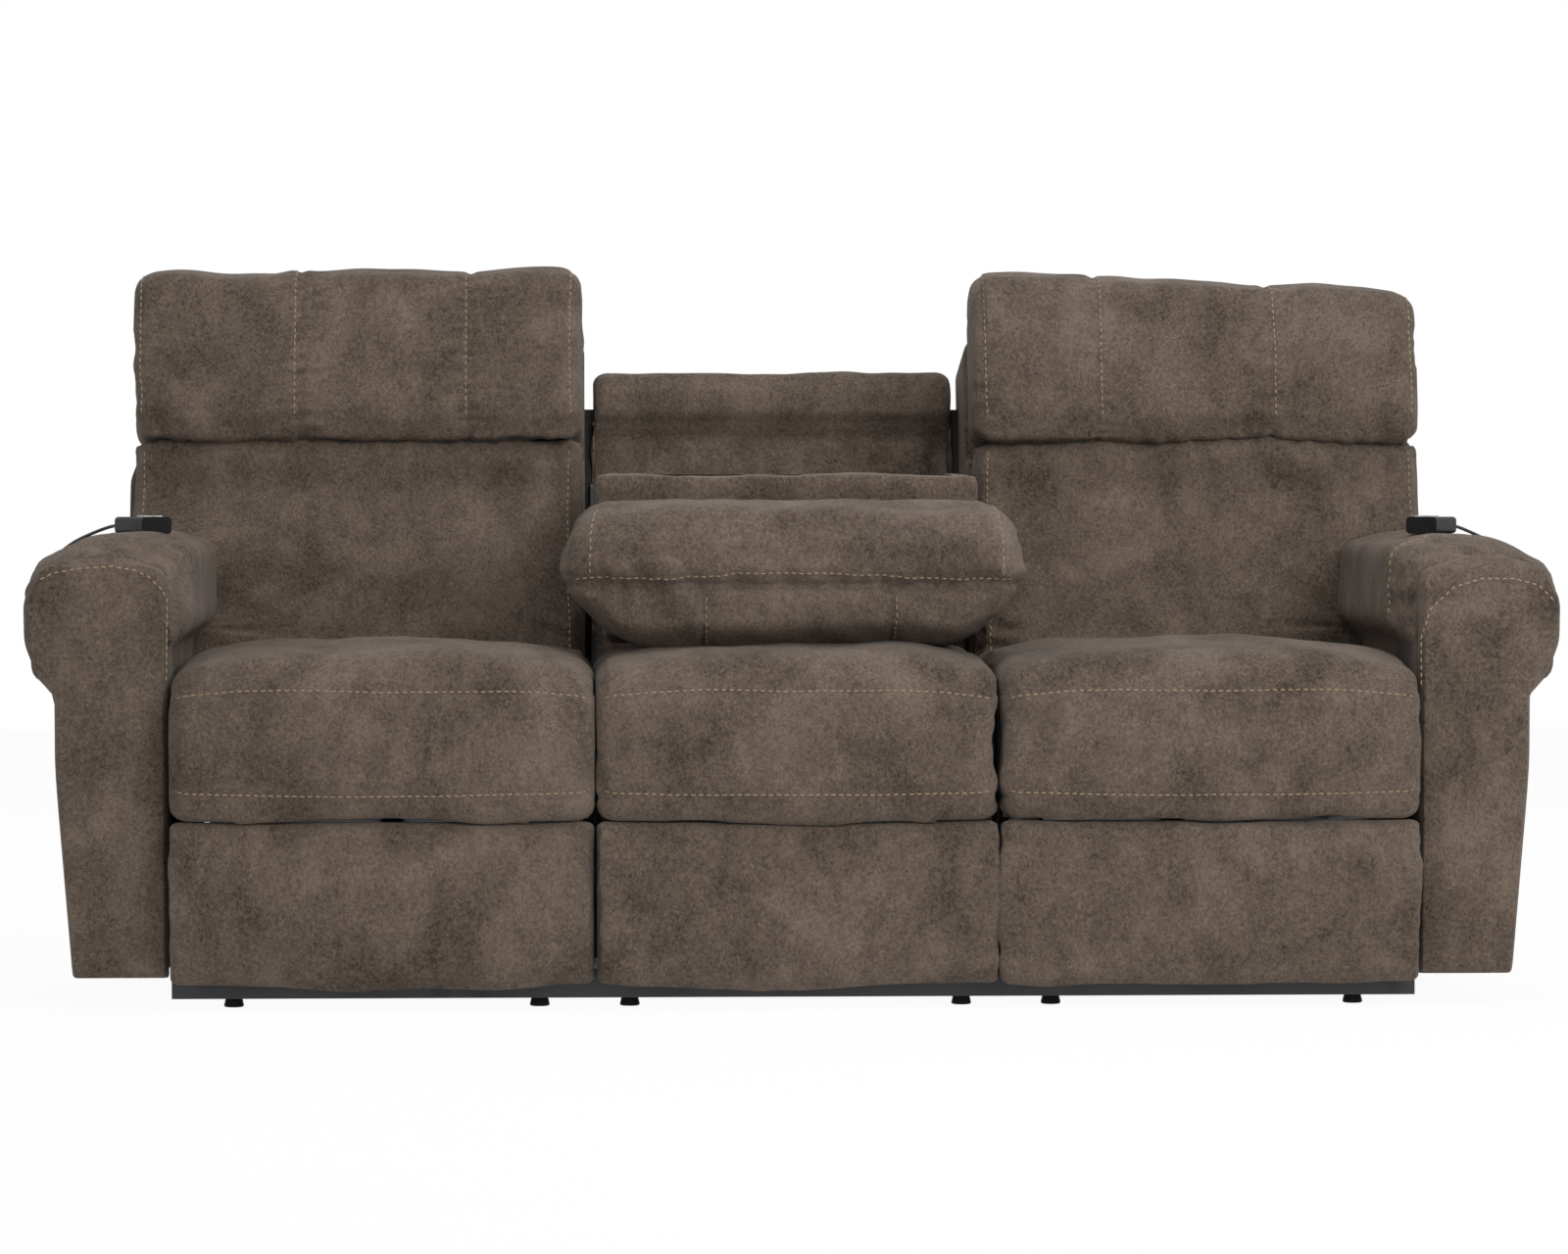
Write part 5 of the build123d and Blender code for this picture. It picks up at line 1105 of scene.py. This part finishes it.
def floor_finish():
    """Pale floor that keeps the sofa's shadow: mostly white light to the camera, the rest plain matt."""
    finish, seen = stage_finish(bpy.data.materials.new("pale_floor"))
    cloud = finish.clamp(finish.noise(3, 3, 0.5), 0.3, 0.7)
    pale = finish.mix(cloud, (0.95, 0.95, 0.95), (0.98, 0.98, 0.98))
    matt = finish.node("ShaderNodeBsdfDiffuse", {}, {"Color": pale})
    light = finish.node("ShaderNodeEmission", {}, {"Color": WHITE, "Strength": 1.0})
    both = finish.node("ShaderNodeMixShader", {}, {0: seen * FLOOR_GLOW, 1: matt, 2: light})
    end = finish.tree.nodes.new("ShaderNodeOutputMaterial")
    finish.tree.links.new(both.socket, end.inputs["Surface"])
    return finish.material


def sky():
    """World: white to the camera, soft grey light for the sofa."""
    world = bpy.data.worlds.new("studio")
    bpy.context.scene.world = world
    finish, seen = stage_finish(world)
    soft = finish.node("ShaderNodeBackground", {}, {"Color": WHITE, "Strength": SKY_LIGHT})
    white = finish.node("ShaderNodeBackground", {}, {"Color": WHITE, "Strength": 1.0})
    both = finish.node("ShaderNodeMixShader", {}, {0: finish.clamp(seen, 0.0, 1.0), 1: soft, 2: white})
    end = finish.tree.nodes.new("ShaderNodeOutputWorld")
    finish.tree.links.new(both.socket, end.inputs["Surface"])


def lamp(name, place, aim, extent, power):
    """Soft rectangular lamp that shines at a point."""
    light = bpy.data.lights.new(name, "AREA")
    light.shape = "RECTANGLE"
    light.size, light.size_y = extent
    light.energy = power
    holder = bpy.data.objects.new(name, light)
    holder.location = place
    holder.rotation_euler = (Vector(aim) - Vector(place)).to_track_quat("-Z", "Y").to_euler()
    bpy.context.scene.collection.objects.link(holder)


def camera(view):
    """Camera on a sphere round the sofa's middle."""
    level = math.cos(view.elevation)
    back = Vector((math.sin(view.azimuth) * level, -math.cos(view.azimuth) * level, math.sin(view.elevation)))
    lens = bpy.data.cameras.new("photo_camera")
    lens.lens, lens.sensor_width = view.lens, 36.0
    eye = bpy.data.objects.new("photo_camera", lens)
    eye.location = CAMERA_AIM + back * view.distance
    eye.rotation_euler = (-back).to_track_quat("-Z", "Y").to_euler()
    bpy.context.scene.collection.objects.link(eye)
    bpy.context.scene.camera = eye


# ---------------------------------------------------------------- operators
class SOFA_OT_stage(bpy.types.Operator):
    """Camera, floor, sky and lamps"""
    bl_idname = "sofa.stage"
    bl_label = "Stage"

    def execute(self, context):
        camera(context.scene.sofa_stage)
        corners = [(x * FLOOR_HALF, y * FLOOR_HALF, 0) for x, y in ((-1, -1), (1, -1), (1, 1), (-1, 1))]
        mesh_object("pale_floor", corners, [[(0, 1, 2, 3)]], floor_finish())
        sky()
        for name, (place, aim, extent, power) in LAMPS.items():
            lamp(name, place, aim, extent, power)
        context.scene.view_settings.view_transform = "Standard"
        return {"FINISHED"}


class SOFA_OT_cords(bpy.types.Operator):
    """Leads of the two handsets"""
    bl_idname = "sofa.cords"
    bl_label = "Handset cords"

    def execute(self, context):
        for name, side in SIDES.items():
            handset_cord(side, name)
        return {"FINISHED"}


class SOFA_OT_seats(bpy.types.Operator):
    """Three crowned seat cushions"""
    bl_idname = "sofa.seats"
    bl_label = "Seat cushions"

    def execute(self, context):
        makes = (("left", "left_seat", 11), ("right", "right_seat", 23), ("middle", "base", 37))
        for name, body, seed in makes:
            seat(name + "_seat_cover", *SEAT_SPANS[name], body, name + "_seat_cushion", seed)
        return {"FINISHED"}


class SOFA_OT_fronts(bpy.types.Operator):
    """Padded footrests and the middle front panel"""
    bl_idname = "sofa.fronts"
    bl_label = "Front pads"

    def execute(self, context):
        for name, seed in (("left", 41), ("right", 53)):
            pad = name + "_footrest"
            foot_pad(pad + "_cover", *SEAT_SPANS[name], pad, pad + "_pad", seed)
        foot_pad("middle_front_cover", *SEAT_SPANS["middle"], "base", "middle_front_panel", 67)
        return {"FINISHED"}


class SOFA_OT_lumbars(bpy.types.Operator):
    """Lumbar cushions of the two reclining backs"""
    bl_idname = "sofa.lumbars"
    bl_label = "Lumbar cushions"

    def execute(self, context):
        lumbar(-1, "left", 71)
        lumbar(1, "right", 83)
        return {"FINISHED"}


class SOFA_OT_headrests(bpy.types.Operator):
    """Headrest pillows"""
    bl_idname = "sofa.headrests"
    bl_label = "Headrests"

    def execute(self, context):
        headrest(-1, "left", 91, (0.63, 0.25), 0.004)
        headrest(1, "right", 103, (0.276, 0.666), 0.026)
        return {"FINISHED"}


class SOFA_OT_shells(bpy.types.Operator):
    """Outer backs of the reclining seats and the fixed middle back"""
    bl_idname = "sofa.shells"
    bl_label = "Outer backs"

    def execute(self, context):
        back_shell(-1, "left", 111)
        back_shell(1, "right", 123)
        middle_back(131)
        return {"FINISHED"}


class SOFA_OT_arms(bpy.types.Operator):
    """Arm upholstery and its two facings"""
    bl_idname = "sofa.arms"
    bl_label = "Arms"

    def execute(self, context):
        arm_cover(-1, "left", 141)
        arm_cover(1, "right", 153)
        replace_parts(arm_facing(-1, "left", 161), "arm_front_panels")
        arm_facing(1, "right", 173)
        return {"FINISHED"}


class SOFA_OT_slit_sheets(bpy.types.Operator):
    """Black sheets in the slits between seats and backs, painted shade in the seat, corner and lip slits"""
    bl_idname = "sofa.linings"
    bl_label = "Gap shade sheets"

    def execute(self, context):
        gap_shade_sheets()
        return {"FINISHED"}


class SOFA_OT_console(bpy.types.Operator):
    """Pillow, tray wall and underside of the drop-down console"""
    bl_idname = "sofa.console"
    bl_label = "Console padding"

    def execute(self, context):
        console_pillow(181)
        console_rim(193)
        console_underside(201)
        return {"FINISHED"}


class SOFA_OT_stitching(bpy.types.Operator):
    """Contrast thread along every remembered seam, one mesh for each body"""
    bl_idname = "sofa.stitching"
    bl_label = "Stitching"

    def execute(self, context):
        thread = context.scene.sofa_stitching
        sizes = (thread.length, thread.gap, thread.thickness)
        for body in sorted({rider for line, outward, rider in STITCH}):
            lines = [(line, outward) for line, outward, rider in STITCH if rider == body]
            piece = stitches_mesh(body + "_topstitching", lines, sizes, finish_of("thread"))
            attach(piece, "console" if body == "console_pillow" else body)
            if body == "console_pillow":
                squeeze(piece)
        return {"FINISHED"}


class SOFA_OT_frame(bpy.types.Operator):
    """Finishes of the timber, metal and plastic pieces"""
    bl_idname = "sofa.frame"
    bl_label = "Frame finishes"

    def execute(self, context):
        dress_frame(FRAME_FINISH)
        return {"FINISHED"}


OPERATORS = [SOFA_OT_stage, SOFA_OT_cords, SOFA_OT_seats, SOFA_OT_fronts, SOFA_OT_lumbars, SOFA_OT_headrests,
             SOFA_OT_shells, SOFA_OT_arms, SOFA_OT_slit_sheets, SOFA_OT_console, SOFA_OT_stitching, SOFA_OT_frame]


class SOFA_PT_sidebar(bpy.types.Panel):
    """Sidebar list of the sofa's makers"""
    bl_idname = "SOFA_PT_sidebar"
    bl_label = "Console sofa"
    bl_space_type = "VIEW_3D"
    bl_region_type = "UI"
    bl_category = "Sofa"

    def draw(self, context):
        for name, group in GROUPS.items():
            for key in group.__annotations__:
                self.layout.prop(getattr(context.scene, name), key)
        for maker in OPERATORS:
            self.layout.operator(maker.bl_idname)


GROUPS = {"sofa_fabric": SofaFabric, "sofa_stitching": SofaStitching, "sofa_mesh": SofaMesh,
          "sofa_stage": SofaStage}


def register():
    """Add the settings, the operators and the panel."""
    for name, group in GROUPS.items():
        bpy.utils.register_class(group)
        setattr(bpy.types.Scene, name, PointerProperty(type=group))
    for maker in OPERATORS + [SOFA_PT_sidebar]:
        bpy.utils.register_class(maker)


def unregister():
    """Take the panel, the operators and the settings away again."""
    for maker in [SOFA_PT_sidebar] + OPERATORS[::-1]:
        bpy.utils.unregister_class(maker)
    for name, group in GROUPS.items():
        delattr(bpy.types.Scene, name)
        bpy.utils.unregister_class(group)


def main():
    """Run every operator."""
    register()
    for maker in OPERATORS:
        group, name = maker.bl_idname.split(".")
        getattr(getattr(bpy.ops, group), name)()


if __name__ == "__main__":
    main()
